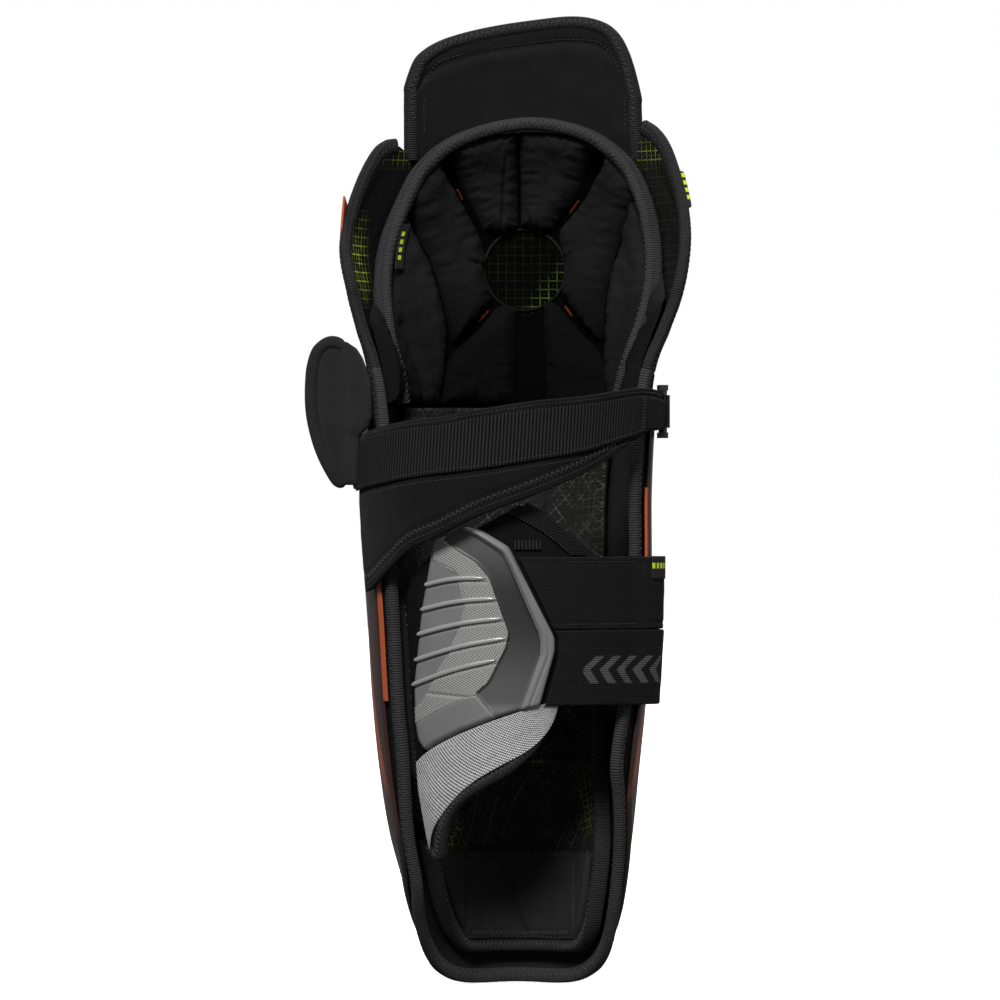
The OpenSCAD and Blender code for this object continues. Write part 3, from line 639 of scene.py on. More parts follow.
def dots(s, u, v, h):
    """Small dots in rows, for mesh with light specks."""
    w = TAU / 4.9
    a = s.mt("MULTIPLY", s.mt("COSINE", s.mt("MULTIPLY", u, w)), s.mt("COSINE", s.mt("MULTIPLY", v, w)))
    k = s.step(s.noise(.11, 2, .5), .40, .62)
    w2 = TAU / 11.0
    net = s.mt("MAXIMUM", s.mt("COSINE", s.mt("MULTIPLY", s.mt("ADD", u, v), w2)), s.mt("COSINE", s.mt("MULTIPLY", s.mt("SUBTRACT", u, v), w2)))
    both = s.mt("ADD", s.mt("MULTIPLY", s.step(a, .82, .95), .5), s.mt("MULTIPLY", s.step(net, .93, .985), .2))
    return s.mt("MULTIPLY", both, k, clamp=True)


def ridge(s, u, v, h):
    """Painted highlight: a lighter colour on the tops of a ribbed tape's ribs."""
    return s.mt("MULTIPLY", s.step(h, .6, .95), .8)


def grid_by_zone(s, u, v, h):
    """A printed grid that shows where the mesh's zone value is high."""
    w = TAU / 4.6
    vec = s.mm()[0]
    a = s.mt("MAXIMUM", s.mt("COSINE", s.mt("MULTIPLY", u, w)), s.mt("COSINE", s.mt("MULTIPLY", v, w)))
    b = s.mt("MULTIPLY", s.mt("COSINE", s.mt("MULTIPLY_ADD", u, w, math.pi)), s.mt("COSINE", s.mt("MULTIPLY_ADD", v, w, math.pi)))
    g = s.mt("MAXIMUM", s.step(a, .86, .95), s.mt("MULTIPLY", s.step(b, .78, .9), .35))
    z = s.mt("MULTIPLY", s.zone(), s.mt("MULTIPLY_ADD", s.step(s.noise(.16, 3, .6, vec), .35, .6), .75, .25))
    return s.mt("MULTIPLY", g, z, clamp=True)


GREEN = (.20, .27, .03)


def marks(s, u, v, h):
    """A row of plain dashes along a tag."""
    a = s.step(s.mt("ABSOLUTE", s.mt("SUBTRACT", u, 3.0)), 1.5, 1.2)
    f = s.mt("ABSOLUTE", s.mt("SUBTRACT", s.mt("FRACT", s.mt("DIVIDE", v, 4.4)), .5))
    b = s.step(f, .30, .26)
    c = s.mt("MULTIPLY", s.step(v, 3.6, 4.2), s.step(v, 21.4, 20.8))
    return s.mt("MULTIPLY", s.mt("MULTIPLY", a, b), c)


def marks2(s, u, v, h):
    """The same dashes, running along the tag's length."""
    a = s.step(s.mt("ABSOLUTE", s.mt("SUBTRACT", v, 7.0)), 1.6, 1.3)
    f = s.mt("ABSOLUTE", s.mt("SUBTRACT", s.mt("FRACT", s.mt("DIVIDE", u, 3.1)), .5))
    return s.mt("MULTIPLY", a, s.step(f, .34, .30))
MT = {}
MT["knit"] = fabric("m_carrier_knit", .0115, "jersey", 1.1, .2, .93, .35, .3, .08)
MT["liner"] = fabric("m_liner_mesh", .0088, "mesh", 1.5, .3, .9, .1, .35, .1, accent=dots, ac=(.13, .13, .12), accent2=grid_by_zone, ac2=GREEN)
MT["flapin"] = fabric("m_flap_inner_mesh", .0062, "mesh", 1.5, .3, .9, .1, .35, .1, accent=dots, ac=(.13, .13, .12))
MT["window"] = fabric("m_window_mesh", .0011, "mesh", 1.5, .3, .9, .1, .35, .01, accent=grid_by_zone, ac=(.062, .084, .015))
# The wing mesh's green grid is a real print, made much brighter here as painted light on the wing's shaded inner face.
MT["wing"] = fabric("m_wing_mesh", .0055, "mesh", 1.7, .3, .85, .1, .35, .12, accent=grid_by_zone, ac=(.50, .64, .08))
# The knee pads carry painted shade that darkens them towards their lower ends.
MT["pad"] = fabric("m_pad_jersey", .0088, "jersey", .9, .16, .9, .4, .45, .12, painted_shade_ramp=(332, 398, .12))
MT["pocket"] = fabric("m_pocket_jersey", .019, "jersey", .9, .2, .9, .4, .35, .12)
# The side pads carry painted shade that darkens them towards their lower ends.
MT["side"] = fabric("m_side_jersey", .0094, "plain", .9, .16, .88, .4, .45, .12, painted_shade_ramp=(330, 384, .55))
MT["thigh"] = fabric("m_thigh_jersey", .0075, "jersey", 1.0, .16, .9, .45, .45, .12, sheen=.03)
# Both binding tapes carry a painted highlight, a lighter colour on their rib tops.
MT["bind"] = fabric("m_binding_tape", .0155, "ribx", 1.25, .5, .8, .15, .25, .16, accent=ridge, ac=(.020, .020, .020))
MT["bind2"] = fabric("m_binding_soft", .026, "ribx", 1.35, .5, .8, .2, .25, .18, accent=ridge, ac=(.033, .033, .033))
MT["calf"] = fabric("m_calf_wing_twill", .0068, "twill", 1.3, .28, .88, .25, .35, .14, sheen=.02)
MT["jersey2"] = fabric("m_calf_wing_back", .007, "jersey", 1.0, .10, .9, .5, .3, .1)
# The webbing carries a painted highlight, a much lighter colour on its rib tops.
MT["web"] = fabric("m_webbing_rib", .0048, "ribx", 1.9, .9, .7, .04, .2, .2, accent=ridge, ac=(.021, .021, .021))
MT["tab"] = fabric("m_tab_fabric", .0125, "plain", .9, .2, .85, .45, .35, .16, sheen=.03)
MT["flap"] = fabric("m_flap_twill", .0050, "twill", 1.7, .22, .88, .35, .3, .1)
MT["ribband"] = fabric("m_flap_ribbed_band", .0085, "ribx", 1.6, .7, .78, .1, .2, .16)
MT["grey"] = fabric("m_grey_knit_mesh", .42, "plain", 1.75, .9, .8, .2, .1, .14)
MT["strap"] = fabric("m_strap_weave", .0112, "plain", 1.25, .6, .8, .1, .35, .16)
MT["foam"] = None
MT["pile"] = fabric("m_loop_pile", .012, "plain", .6, .5, .97, .5, .5, .05)
MT["hookp"] = fabric("m_hook_strip", .012, "mesh", 1.0, .5, .6, .3, .2, .3)
MT["tag"] = fabric("m_tag_weave", .013, "ribx", .7, .1, .7, .6, .15, .2, accent=marks, ac=(.42, .50, .02))
MT["fold"] = fabric("m_inner_backing", .0095, "plain", .8, .1, .92, .5, .3, .08)
MT["thread"] = thread("m_thread_black", .022)
MT["thread2"] = thread("m_thread_dark", .028)
MT["cap"] = None
MT["dark"] = plastic("m_dark_band_plastic", .005, .5, .2, .0, .8, .03)
MT["frame"] = plastic("m_frame_plastic", .085, .42, .42, .0, .9, .03, .1)
MT["smooth"] = plastic("m_plate_smooth", .145, .38, .42, .0, .9, .02, .1)
MT["rib"] = plastic("m_rib_rubber", .19, .22, .8, .0, 1.1, .03, .1)
MT["loop"] = plastic("m_loop_plastic", .012, .36, .45, .0, .9, .03)
MT["orange"] = plastic("m_trim_orange", (.30, .06, .018), .45, .4, .0, .9, .02)
MT["lime"] = fabric("m_tag_lime", .012, "ribx", .8, .12, .7, .6, .12, .2, accent=marks2, ac=(.42, .50, .02))


def make_foam():
    s = Mat("m_foam_orange")
    vec, x, y, z = s.mm()
    v = s.node("ShaderNodeTexVoronoi")
    v.inputs["Scale"].default_value = 1.6
    s.nt.links.new(vec, v.inputs["Vector"])
    d = v.outputs["Distance"]
    c = s.mixc(d, (.10, .011, .006), (.05, .006, .003))
    return s.done(c, .85, s.bump(d, .3), .15)


def make_cap(name="m_cap_gloss"):
    """Glossy moulded cap: near black on its front, brown with an orange sweep along its sides."""
    s = Mat(name)
    vec, x, y, z = s.mm()
    ax = s.mt("ABSOLUTE", x)
    # side zone, and a sweep that leans forward with height
    side = s.step(s.mt("ADD", y, s.mt("MULTIPLY", z, .05)), 34.0, 22.0)
    side = s.step(s.mt("SUBTRACT", s.mt("MULTIPLY_ADD", z, .10, 8.0), y), -2.0, 6.0)
    lean = s.mt("SUBTRACT", y, s.mt("MULTIPLY_ADD", z, .16, -30.0))
    band = s.mt("MULTIPLY", s.step(lean, -9.0, -6.5), s.step(lean, 1.5, -1.0))
    mid = s.mt("MULTIPLY", s.step(z, 96.0, 118.0), s.step(z, 300.0, 262.0))
    brown = (.024, .010, .008)
    c = s.mixc(s.mt("MULTIPLY", side, s.step(z, 60.0, 96.0)), (.010, .010, .011), brown)
    c = s.mixc(s.mt("MULTIPLY", band, mid), c, (.30, .05, .012))
    sp = s.noise(3.5, 2, .6, vec)
    c = s.mixc(s.mt("MULTIPLY", s.step(sp, .64, .72), .12), c, (.10, .10, .10))
    n = s.bump(s.noise(.045, 2, .5, vec), .5, .3)
    n = s.bump(s.noise(1.3, 3, .6, vec), .012, 1, n)
    r = s.mt("MULTIPLY_ADD", s.noise(.2, 4, .6, vec), .16, .27)
    return s.done(c, r, n, .3)


def make_plate():
    """Grey moulded plate: fine basket texture right of the parting line, smooth left of it."""
    s = Mat("m_plate_texture")
    vec, x, y, z = s.mm()
    w = TAU / 1.7
    a = s.mt("MULTIPLY", s.mt("SINE", s.mt("MULTIPLY", s.mt("ADD", x, s.mt("MULTIPLY", z, .35)), w)),
             s.mt("SINE", s.mt("MULTIPLY", s.mt("SUBTRACT", z, s.mt("MULTIPLY", x, .2)), w)))
    h = s.mt("MULTIPLY_ADD", a, .5, .5)
    zn = s.zone()
    # zone: 0 smooth, 1 textured, 2 dark band, 3 frame
    tex = s.mt("MULTIPLY", s.step(zn, .35, .65), s.step(zn, 1.65, 1.35))
    darkb = s.mt("MULTIPLY", s.step(zn, 1.35, 1.65), s.step(zn, 2.65, 2.35))
    fr = s.step(zn, 2.35, 2.65)
    base = s.mixc(s.noise(.05, 3, .5, vec), (.085, .085, .087), (.135, .135, .136))
    txc = s.mixc(h, (.085, .085, .085), (.25, .25, .245))
    c = s.mixc(tex, base, txc)
    dk = s.mixc(s.step(z, 196.0, 150.0), (.014, .014, .0145), (.055, .055, .056))
    dk = s.mixc(s.step(z, 205.0, 236.0), dk, (.05, .05, .051))
    c = s.mixc(darkb, c, dk)
    c = s.mixc(fr, c, (.115, .115, .117))
    hh = s.mt("MULTIPLY", h, tex)
    n = s.bump(hh, .35)
    n = s.bump(s.noise(1.2, 3, .6, vec), .03, 1, n)
    r = s.mt("MULTIPLY_ADD", s.noise(.9, 3, .6, vec), .15, .38)
    return s.done(c, r, n, .35)


def make_steel():
    s = Mat("m_rivet_steel")
    vec, x, y, z = s.mm()
    f = s.noise(1.8, 4, .7, vec)
    c = s.mixc(f, (.30, .30, .31), (.55, .55, .56))
    return s.done(c, s.mt("MULTIPLY_ADD", f, .25, .25), s.bump(f, .02), .5, Metallic=.9)


def make_elastic():
    """Elastic with a woven-in band of plain chevrons."""
    s = Mat("m_strap_elastic")
    vec, x, y, z = s.mm()
    u, v = s.uv()
    h = pattern(s, "rib", 1.15, u, v)
    edge = s.step(s.mt("ABSOLUTE", s.mt("SUBTRACT", v, 19.5)), 7.6, 6.9)
    tri = s.mt("ABSOLUTE", s.mt("SUBTRACT", s.mt("FRACT", s.mt("DIVIDE", s.mt("ADD", u, s.mt("MULTIPLY", s.mt("ABSOLUTE", s.mt("SUBTRACT", v, 19.5)), 1.0)), 11.0)), .5))
    chev = s.step(tri, .28, .2)
    inr = s.mt("MULTIPLY", s.step(u, 18.0, 20.0), s.step(u, 96.0, 93.0))
    k = s.mt("MULTIPLY", s.mt("MULTIPLY", edge, chev), inr)
    big = s.noise(.05, 3, .6, vec)
    c0 = s.mixc(s.mt("MULTIPLY", h, s.mt("MULTIPLY_ADD", big, .6, .7)), (.0006, .0006, .0006), (.0050, .0050, .0050))
    c1 = s.mixc(h, (.02, .02, .021), (.085, .085, .09))
    c = s.mixc(s.mt("MULTIPLY", k, .8), c0, c1)
    n = s.bump(s.mt("ADD", h, s.mt("MULTIPLY", k, .4)), .3)
    return s.done(c, .82, n, .14)


MT["foam"] = make_foam()
MT["cap"] = make_cap()
MT["plate"] = make_plate()
MT["steel"] = make_steel()
MT["elastic"] = make_elastic()


# ------------------------------------------------------------------ tables shared with the CAD
ZBL = [[0, 0], [38, 0], [60, 6], [74, 16], [90, 32], [107, 52], [114, 78], [120, 118]]
ZBR = [[0, 0], [38, 0], [60, 6], [74, 16], [86, 32], [95, 50], [106, 80], [113, 100], [118, 116]]
KL = [[0, 1], [200, 1], [255, 1], [300, .94], [323, .88]]
KR = [[0, 1], [130, 1], [165, .955], [226, .935], [290, .93], [323, .895]]
ZTK = [[-97, 370], [-90, 386], [-81, 400], [-70, 421], [-60, 438], [-54, 443], [-48, 444.5], [-42, 440], [-37, 437],
       [-28, 437], [0, 436], [38, 437], [48, 440], [52, 454], [58, 450], [66, 441], [78, 419], [90, 394], [97, 370]]
KK = [[323, 1.09], [345, 1.03], [372, 1], [460, 1]]
LL = [[19, -46], [28, -57], [38, -64], [50, -67], [64, -66], [78, -66], [92, -84], [104, -108], [114, -116], [200, -117], [215, -112], [235, -84],
      [262, -66], [316, -60]]
LR = [[19, 72], [40, 80], [60, 80], [90, 68], [123, 58], [150, 54], [200, 54], [262, 56], [316, 60]]
LZB = [[0, 26], [.08, 21], [.18, 19], [.82, 19], [.92, 21], [1, 26]]
RIM = [[-76, 336], [-69, 362], [-62, 382], [-56, 399], [-49, 416], [-42, 431], [-31, 444], [-14, 452.5], [6, 456],
       [26, 452], [40, 444], [52, 431], [62, 410], [69, 384], [74, 356], [77, 336]]


def th_s(t0, z):
    return t0 * np.where(np.asarray(t0) < 0, herm(KL, z), herm(KR, z))


def zb(t0):
    t0 = np.asarray(t0, float)
    return np.where(t0 < 0, herm(ZBL, abs(t0)), herm(ZBR, abs(t0)))


def liner_o(z):
    return -7.2 - 3.8 * ease((z - 426) / 28)


def pad_o(z):
    return liner_o(z) - 2.1


# ---- carriers
def zlift(t0):
    return 3.1 * ease((92 - abs(np.asarray(t0, float))) / 30)


def carrier(u, v, off):
    t0 = mix(-119.5, 117.5, u)
    z = mix(zb(t0) + .5 + zlift(t0), 323, v)
    return P(z, th_s(t0, z), off)


slab("shin_carrier_v", carrier, 90, 60, 4, .008, .008, mid=-2, mats=(MT["knit"], MT["fold"]), rep=["shin_carrier"], slot="carrier_foam")


def knee_part(a, b):
    def f(u, v, off):
        t0 = mix(a, b, u)
        z = mix(321.4, lin(ZTK, t0) - .5, v)
        return P(z, t0 * herm(KK, z), off)
    return f


slab("knee_carrier_v", knee_part(-36.5, 48), 50, 40, 4, .02, .02, mid=-2, mats=(MT["knit"], MT["fold"]), rep=["knee_carrier"], slot="carrier_foam")


def wing_zone_l(u, v):
    t0, z = mix(-97, -36.9, u), mix(323.5, lin(ZTK, mix(-97, -36.9, u)), v)
    a = ease(1 - abs(z - 384) / 30) * ease((-62 - t0) / 12)
    return a + .22 * ease(1 - abs(z - 440) / 9)


def wing_zone_r(u, v):
    t0 = mix(48.4, 97, u)
    z = mix(323.5, lin(ZTK, t0), v)
    return .30 * ease(1 - abs(z - 441) / 10) + .02


def wingpuff(u, v):
    return 0.9 * np.sin(np.pi * np.clip(u, 0, 1)) + .25 * fbm(u * 6, v * 9, 11)


slab("knee_wing_left_v", knee_part(-97, -36.9), 56, 60, 4, .03, .03, mid=-2, pi_=wingpuff, mats=(MT["knit"], MT["wing"]),
     rep=["knee_wing_left"], slot="wing_fabric", zone=wing_zone_l, uvf=lambda u, v: (mix(-97, -36.9, u) * 1.5, mix(323.5, lin(ZTK, mix(-97, -36.9, u)), v)))
slab("knee_wing_right_v", knee_part(48.4, 97), 46, 60, 4, .03, .03, mid=-2, pi_=wingpuff, mats=(MT["knit"], MT["wing"]),
     rep=["knee_wing_right"], slot="wing_fabric", zone=wing_zone_r, uvf=lambda u, v: (mix(48.4, 97, u) * 1.5, mix(323.5, lin(ZTK, mix(48.4, 97, u)), v)))

# ---- edge bindings, folded tape with a zigzag seam
EDGE_S = [(-120 * float(herm(KL, z)), z) for z in (323.5, 312, 290, 260, 230, 200, 170, 142)] \
    + [(a, float(zb(a) + zlift(a))) for a in (-120, -114, -107, -90, -74, -60, -38, 0, 38, 60, 74, 86, 95, 106, 113)] \
    + [(118 * float(herm(KR, z)), z) for z in (116, 142, 170, 200, 230, 260, 290, 312, 323.5)]
ZIG = []


def binding(name, pts, off, hw, hh, mat_, body="shell", rep=(), back=False, zig=True, sides=(1, -1),
            amp=1.7, pitch=1.55, shift=0.0, step=1.2, wob=.05, rad=.3, kind="zig", e=.62):
    p, n, th, z = path_on(pts, off, step, back)
    o = sweep(name, p, n, oval(hw, hh, 22, e), mat_, body, rep, wob=wob)
    if zig:
        for sgn in sides:
            ZIG.append((body, (p, n * sgn, shift * sgn, hh - .12, kind, pitch, amp, rad)))
    return o


binding("shin_binding_v", EDGE_S, -2, 3.9, 2.95, MT["bind2"], rep=["shin_binding"], pitch=1.7, amp=1.8)
EDGE_KL = [(-97 * float(herm(KK, z)), z) for z in (319, 327, 345, 360)] + [(a, float(lin(ZTK, a))) for a in (-97, -90, -81, -70, -60, -54, -50)]
EDGE_KR = [(97 * float(herm(KK, z)), z) for z in (319, 327, 345, 360)] + [(a, float(lin(ZTK, a))) for a in (97, 90, 78, 66, 58, 52)]
binding("knee_binding_left_v", EDGE_KL, -2, 3.9, 3.0, MT["bind"], rep=["knee_binding_left"], pitch=1.5)
binding("knee_binding_right_v", EDGE_KR, -2, 3.9, 3.0, MT["bind"], rep=["knee_binding_right"], pitch=1.5)


# ---- hard caps
def capz(t0, v):
    return mix(zb(t0) + 9, 306 - 6 * ease((abs(t0) - 30) / 60), v)


def ridge(th):
    return 4 * np.exp(-(th / 13) ** 2) + 1.2 * ease(1 - abs(abs(th) - 48) / 10)


def cap_pos(u, v, off):
    t0 = mix(-113, 109, u)
    z = capz(t0, v)
    th = th_s(t0, z)
    return P(z, th, off + ridge(th) * .9 * ease(np.minimum(v, 1 - v) * 5))


def cap_relief(u, v):
    """Vent slots, stepped side panels and a rolled lower lip on the cap's outside."""
    t0 = mix(-113, 109, u)
    z = capz(t0, v)
    th = th_s(t0, z)
    h = .5 * ease((abs(th) - 20) / 5) * ease((86 - abs(th)) / 5) * ease((z - 36) / 10) * ease((290 - z) / 10)
    for zz in (96, 116, 136, 156, 176):
        s = abs(z - zz - .55 * (abs(th) - 34)) / 3.2
        h = h - 1.3 * ease(1.25 - s) * ease((abs(th) - 24) / 4) * ease((44 - abs(th)) / 4)
    h = h + .6 * ease(1 - abs(v - .02) / .03)
    h = h - .7 * ease(1 - abs(abs(th) - 62 + (z - 150) * .04) / 1.6) * ease((z - 50) / 12) * ease((282 - z) / 12)
    return h


slab("shin_cap_v", cap_pos, 200, 170, 2.3, .006, .006, mid=1.6, po=cap_relief, mats=MT["cap"], rep=["shin_cap"], slot="cap_plastic")


def kcap_pos(u, v, off):
    th = mix(-62, 62, u)
    z = mix(330, 434 - 10 * (th / 62) ** 2, v)
    d = 5 * (1 - (th / 64) ** 2) * ease(v * 3) * ease((1 - v) * 3) + 1.5 * ease(1 - abs(abs(th) - 34) / 8)
    return P(z, th, off + d * .92)


def kcap_relief(u, v):
    th = mix(-62, 62, u)
    h = -.8 * ease(1 - abs(abs(th) - 46) / 2.4) * ease((v - .08) / .06) * ease((.92 - v) / .06)
    r = np.hypot(th / 26, (v - .5) / .36)
    h = h + .8 * ease((1 - r) / .12)
    for k in (-1, 0, 1):
        h = h - 1.0 * ease(1.3 - abs(v - .5 - k * .13 - .0016 * abs(th)) / .018) * ease((15 - abs(th)) / 3)
    return h


slab("knee_cap_v", kcap_pos, 120, 100, 2.3, .012, .012, mid=1.6, po=kcap_relief, mats=MT["cap"], rep=["knee_cap"], slot="cap_plastic")

for nm, mt_ in (("shin_cap_rivets", "steel"), ("knee_cap_rivets", "steel"), ("side_trims", "orange"), ("wing_trims", "orange"),
                ("strap_loop", "loop")):
    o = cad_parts[nm]
    o.data.materials.clear()
    o.data.materials.append(MT[mt_])


# ---- foams
def rect(z0, z1, a, b):
    return lambda u, v, off: P(mix(z0, z1, v), mix(a, b, u), off)


slab("shin_foam_v", rect(40, 300, -34, 34), 24, 50, 1.9, .04, .01, mid=-5.5, mats=MT["foam"], rep=["shin_foam"], slot="foam_orange")
slab("knee_foam_v", rect(338, 420, -40, 44), 30, 24, 1.9, .03, .03, mid=-5.5, mats=MT["foam"], rep=["knee_foam"], slot="foam_orange")


# ---- shin liner
LTOP = 304.5


def liner_pos(u, v, off):
    z = mix(herm(LZB, u), LTOP, v)
    return P(z, mix(herm(LL, z), herm(LR, z), u), liner_o(z) + off)


def liner_puff(u, v):
    z = mix(herm(LZB, u), LTOP, v)
    th = mix(herm(LL, z), herm(LR, z), u)
    h = .9 * fbm(th * .06, z * .03, 5)
    for a in (-30, 22):
        h = h - 2.0 * np.exp(-((th - a - 3 * np.sin(z / 40)) / 2.2) ** 2) * ease((z - 70) / 10)
    for q in (118, 300):
        h = h - 1.7 * np.exp(-((z - q) / 2.0) ** 2)
    h = h - 1.2 * np.exp(-((z - 70) / 1.6) ** 2)
    return h


def liner_zone(u, v):
    z = mix(herm(LZB, u), LTOP, v)
    p = liner_pos(u, v, -7)
    x = p[..., 0]

    def spot(x0, z0, rx, rz):
        return np.exp(-((x - x0) / rx) ** 2 - ((z - z0) / rz) ** 2)

    return np.clip(.75 * spot(-34, 79, 5, 8) + .7 * spot(39, 94, 4, 14) + .10 * spot(44, 250, 11, 26) + .45 * spot(13, 118, 6, 4), 0, 1)


slab("shin_liner_v", liner_pos, 110, 130, 7.2, .03, .015, mid=-3.75, pi_=liner_puff, mats=(MT["fold"], MT["liner"]),
     rep=["shin_liner"], slot="liner_mesh", zone=liner_zone)

# pocket: smooth panel at the lower end, with two soft upright folds and a sewn lower edge


def pocket_pos(u, v, off):
    z = mix(22.5, 68, v)
    return P(z, mix(herm(LL, z) + 5, herm(LR, z) - 7, u), liner_o(z) + off)


def pocket_puff(u, v):
    p = pocket_pos(u, v, -8)
    x, z = p[..., 0], p[..., 2]
    h = 1.0 * ease(np.minimum(v, 1 - v) * 6)
    side = np.maximum(ease((-27.5 - x) / 2), ease((x - 33.5) / 2))
    h = h + 1.5 * side
    for xx in (-26.5, 32.6):
        h = h - 1.3 * np.exp(-((x - xx) / .9) ** 2) * ease((z - 26) / 4)
    for pl, dp, w in (([(-2.5, 66), (-3.4, 50), (0, 38), (6, 26)], 1.9, 2.2), ([(-19, 64), (-17, 46), (-18, 28)], .8, 2.6),
                      ([(17, 66), (19.5, 46), (17, 27)], .9, 2.8)):
        d, _ = dist_poly(x, z, spline(pl, 1.0))
        h = h - dp * np.exp(-(d / w) ** 2)
    h = h + .7 * np.exp(-((x - 5 + (z - 45) * .18) / 4.5) ** 2)
    return h + .35 * fbm(x * .09, z * .07, 8) + .12 * fbm(x * .3, z * .3, 18)


slab("liner_pocket_v", pocket_pos, 150, 70, 1.2, .02, .03, mid=-8.1, pi_=pocket_puff, mats=MT["pocket"], rep=["liner_pocket"], slot="liner_pocket")
LEDGE = [(float(herm(LL, z)), z) for z in (76, 62, 46, 32)] + [(-51, 23.4), (-42, 19.2), (-20, 19), (20, 19), (50, 19), (64, 22)] \
    + [(float(herm(LR, z)), z) for z in (32, 46, 62, 84, 104, 124, 150, 180, 210)]
binding("liner_binding_v", LEDGE, lambda th, z: liner_o(z) - 3.75, 3.5, 4.5, MT["bind"], rep=["liner_binding"], sides=(-1,), pitch=1.35,
        amp=1.9, rad=.32)
p_, n_, _, _ = path_on([(-42, 26), (-20, 25.2), (20, 25.2), (52, 26)], lambda th, z: liner_o(z) - 9.6, 1.0)
ZIG.append(("shell", (p_, -n_, 0, 0, "zig", 1.2, 1.3, .24)))
for zz, kind in ((66.5, "run"),):
    p_, n_, _, _ = path_on([(-56, zz), (0, zz), (68, zz)], lambda th, z: liner_o(z) - 9.3, 1.0)
    ZIG.append(("shell", (p_, -n_, 0, 0, kind, 2.4, 0, .22)))

# ---- knee liner: sewn pads round an oval window. x and z are as seen from behind


def kpos(x, z, off):
    """The knee liner's surface; off counts inwards from its backing."""
    return P(z, frontth(x, z, -14.0), liner_o(z) - off)


def coons(bot, top, left, right):
    """A patch between four curves: bot and top run left to right, left and right run upwards."""
    def f(u, v):
        u_, v_ = np.ravel(u), np.ravel(v)

        def at(c, t):
            c = np.asarray(c, float)
            s = spline(c, .5)
            k = np.linspace(0, 1, len(s))
            return np.column_stack([np.interp(t, k, s[:, 0]), np.interp(t, k, s[:, 1])])

        B, T, L_, R_ = at(bot, u_), at(top, u_), at(left, v_), at(right, v_)
        c00, c10, c01, c11 = (np.asarray(q, float) for q in (bot[0], bot[-1], top[0], top[-1]))
        uu, vv = u_[:, None], v_[:, None]
        q = (1 - vv) * B + vv * T + (1 - uu) * L_ + uu * R_ - ((1 - uu) * (1 - vv) * c00 + uu * (1 - vv) * c10
                                                                + (1 - uu) * vv * c01 + uu * vv * c11)
        return q[:, 0].reshape(np.shape(u)), q[:, 1].reshape(np.shape(u))
    return f


def pillow(name, curves, height, rep, mat_, creases=(), nu=54, nv=54, w=8.5, seed=1, base=1.6, wrinkle=.9,
           power=.62):
    f = coons(*curves)

    def relief(u, v):
        x, z = f(u, v)
        return x, z

    uu, vv = np.meshgrid(steps(nu, .05, 4), steps(nv, .05, 4))
    x, z = f(uu, vv)
    edge = [spline(c, 1.0) for c in curves]
    d = np.full(x.shape, 1e9)
    along = np.zeros(x.shape)
    for k, e in enumerate(edge):
        dk, ak = dist_poly(x, z, e)
        near = dk < d
        d, along = np.where(near, dk, d), np.where(near, ak + 37 * k, along)
    t = np.clip(d / w, 0, 1)
    dome = 1.14 * (1 - (1 - t) ** 2) ** power
    puck = 1 + .09 * np.sin(along * TAU / 6.5 + 2.2 * fbm(along * .12, 0 * d, seed + 5)) * np.exp(-d / 5.5) + .22 * fbm(along * .28, d * .1, seed) * np.exp(-d / 6)
    H = height * dome * puck
    H = H + wrinkle * fbm(x * .07, z * .07, seed + 3) * t + .22 * fbm(x * .3, z * .3, seed + 9) * t
    for (pl, depth, width) in creases:
        dc, ac = dist_poly(x, z, spline(pl, 1.0))
        fade = ease(np.minimum(ac, np.max(ac) - ac) / 3.0) if len(pl) > 1 else 1
        H = H - 1.25 * depth * np.exp(-(dc / width) ** 2) * (.35 + .65 * fade)
    H = np.maximum(H, .3 * t)
    r, c = x.shape
    A = kpos(x, z, base + H)
    B = kpos(x, z, base - .5)
    V = np.concatenate([A.reshape(-1, 3), B.reshape(-1, 3)])
    uv = arcuv(A)
    UV = np.concatenate([uv.reshape(-1, 2)] * 2)
    qa, qb = quads_grid(r, c), quads_grid(r, c, r * c)[:, ::-1]
    # side walls
    ring = np.concatenate([np.arange(c), np.arange(1, r) * c + c - 1, (r - 1) * c + np.arange(c - 2, -1, -1), np.arange(r - 2, 0, -1) * c])
    nx = np.roll(ring, -1)
    qs = np.column_stack([ring, ring + r * c, nx + r * c, nx])
    return make(name, V, np.concatenate([qa, qb, qs]), uv=UV, mats=mat_, body="shell", rep=rep)


WC, WX, WZ = (5.0, 378.5), 20.6, 21.8


def warc(a0, a1, n=9, k=1.0):
    a = np.radians(np.linspace(a0, a1, n))
    return np.column_stack([WC[0] + k * WX * np.sin(a), WC[1] + k * WZ * np.cos(a)])


def rimx(a0, a1, n=10, inset=1.5):
    """Points along the inside of the rim, from x a0 to x a1 (seen from behind)."""
    R = spline(np.array(RIM_XZ), 1.0)
    i0 = np.argmin(np.hypot(R[:, 0] - a0[0], R[:, 1] - a0[1]))
    i1 = np.argmin(np.hypot(R[:, 0] - a1[0], R[:, 1] - a1[1]))
    q = R[np.linspace(i0, i1, n).astype(int)]
    c = np.array([3.0, 372.0])
    return q + unit(c - q) * inset


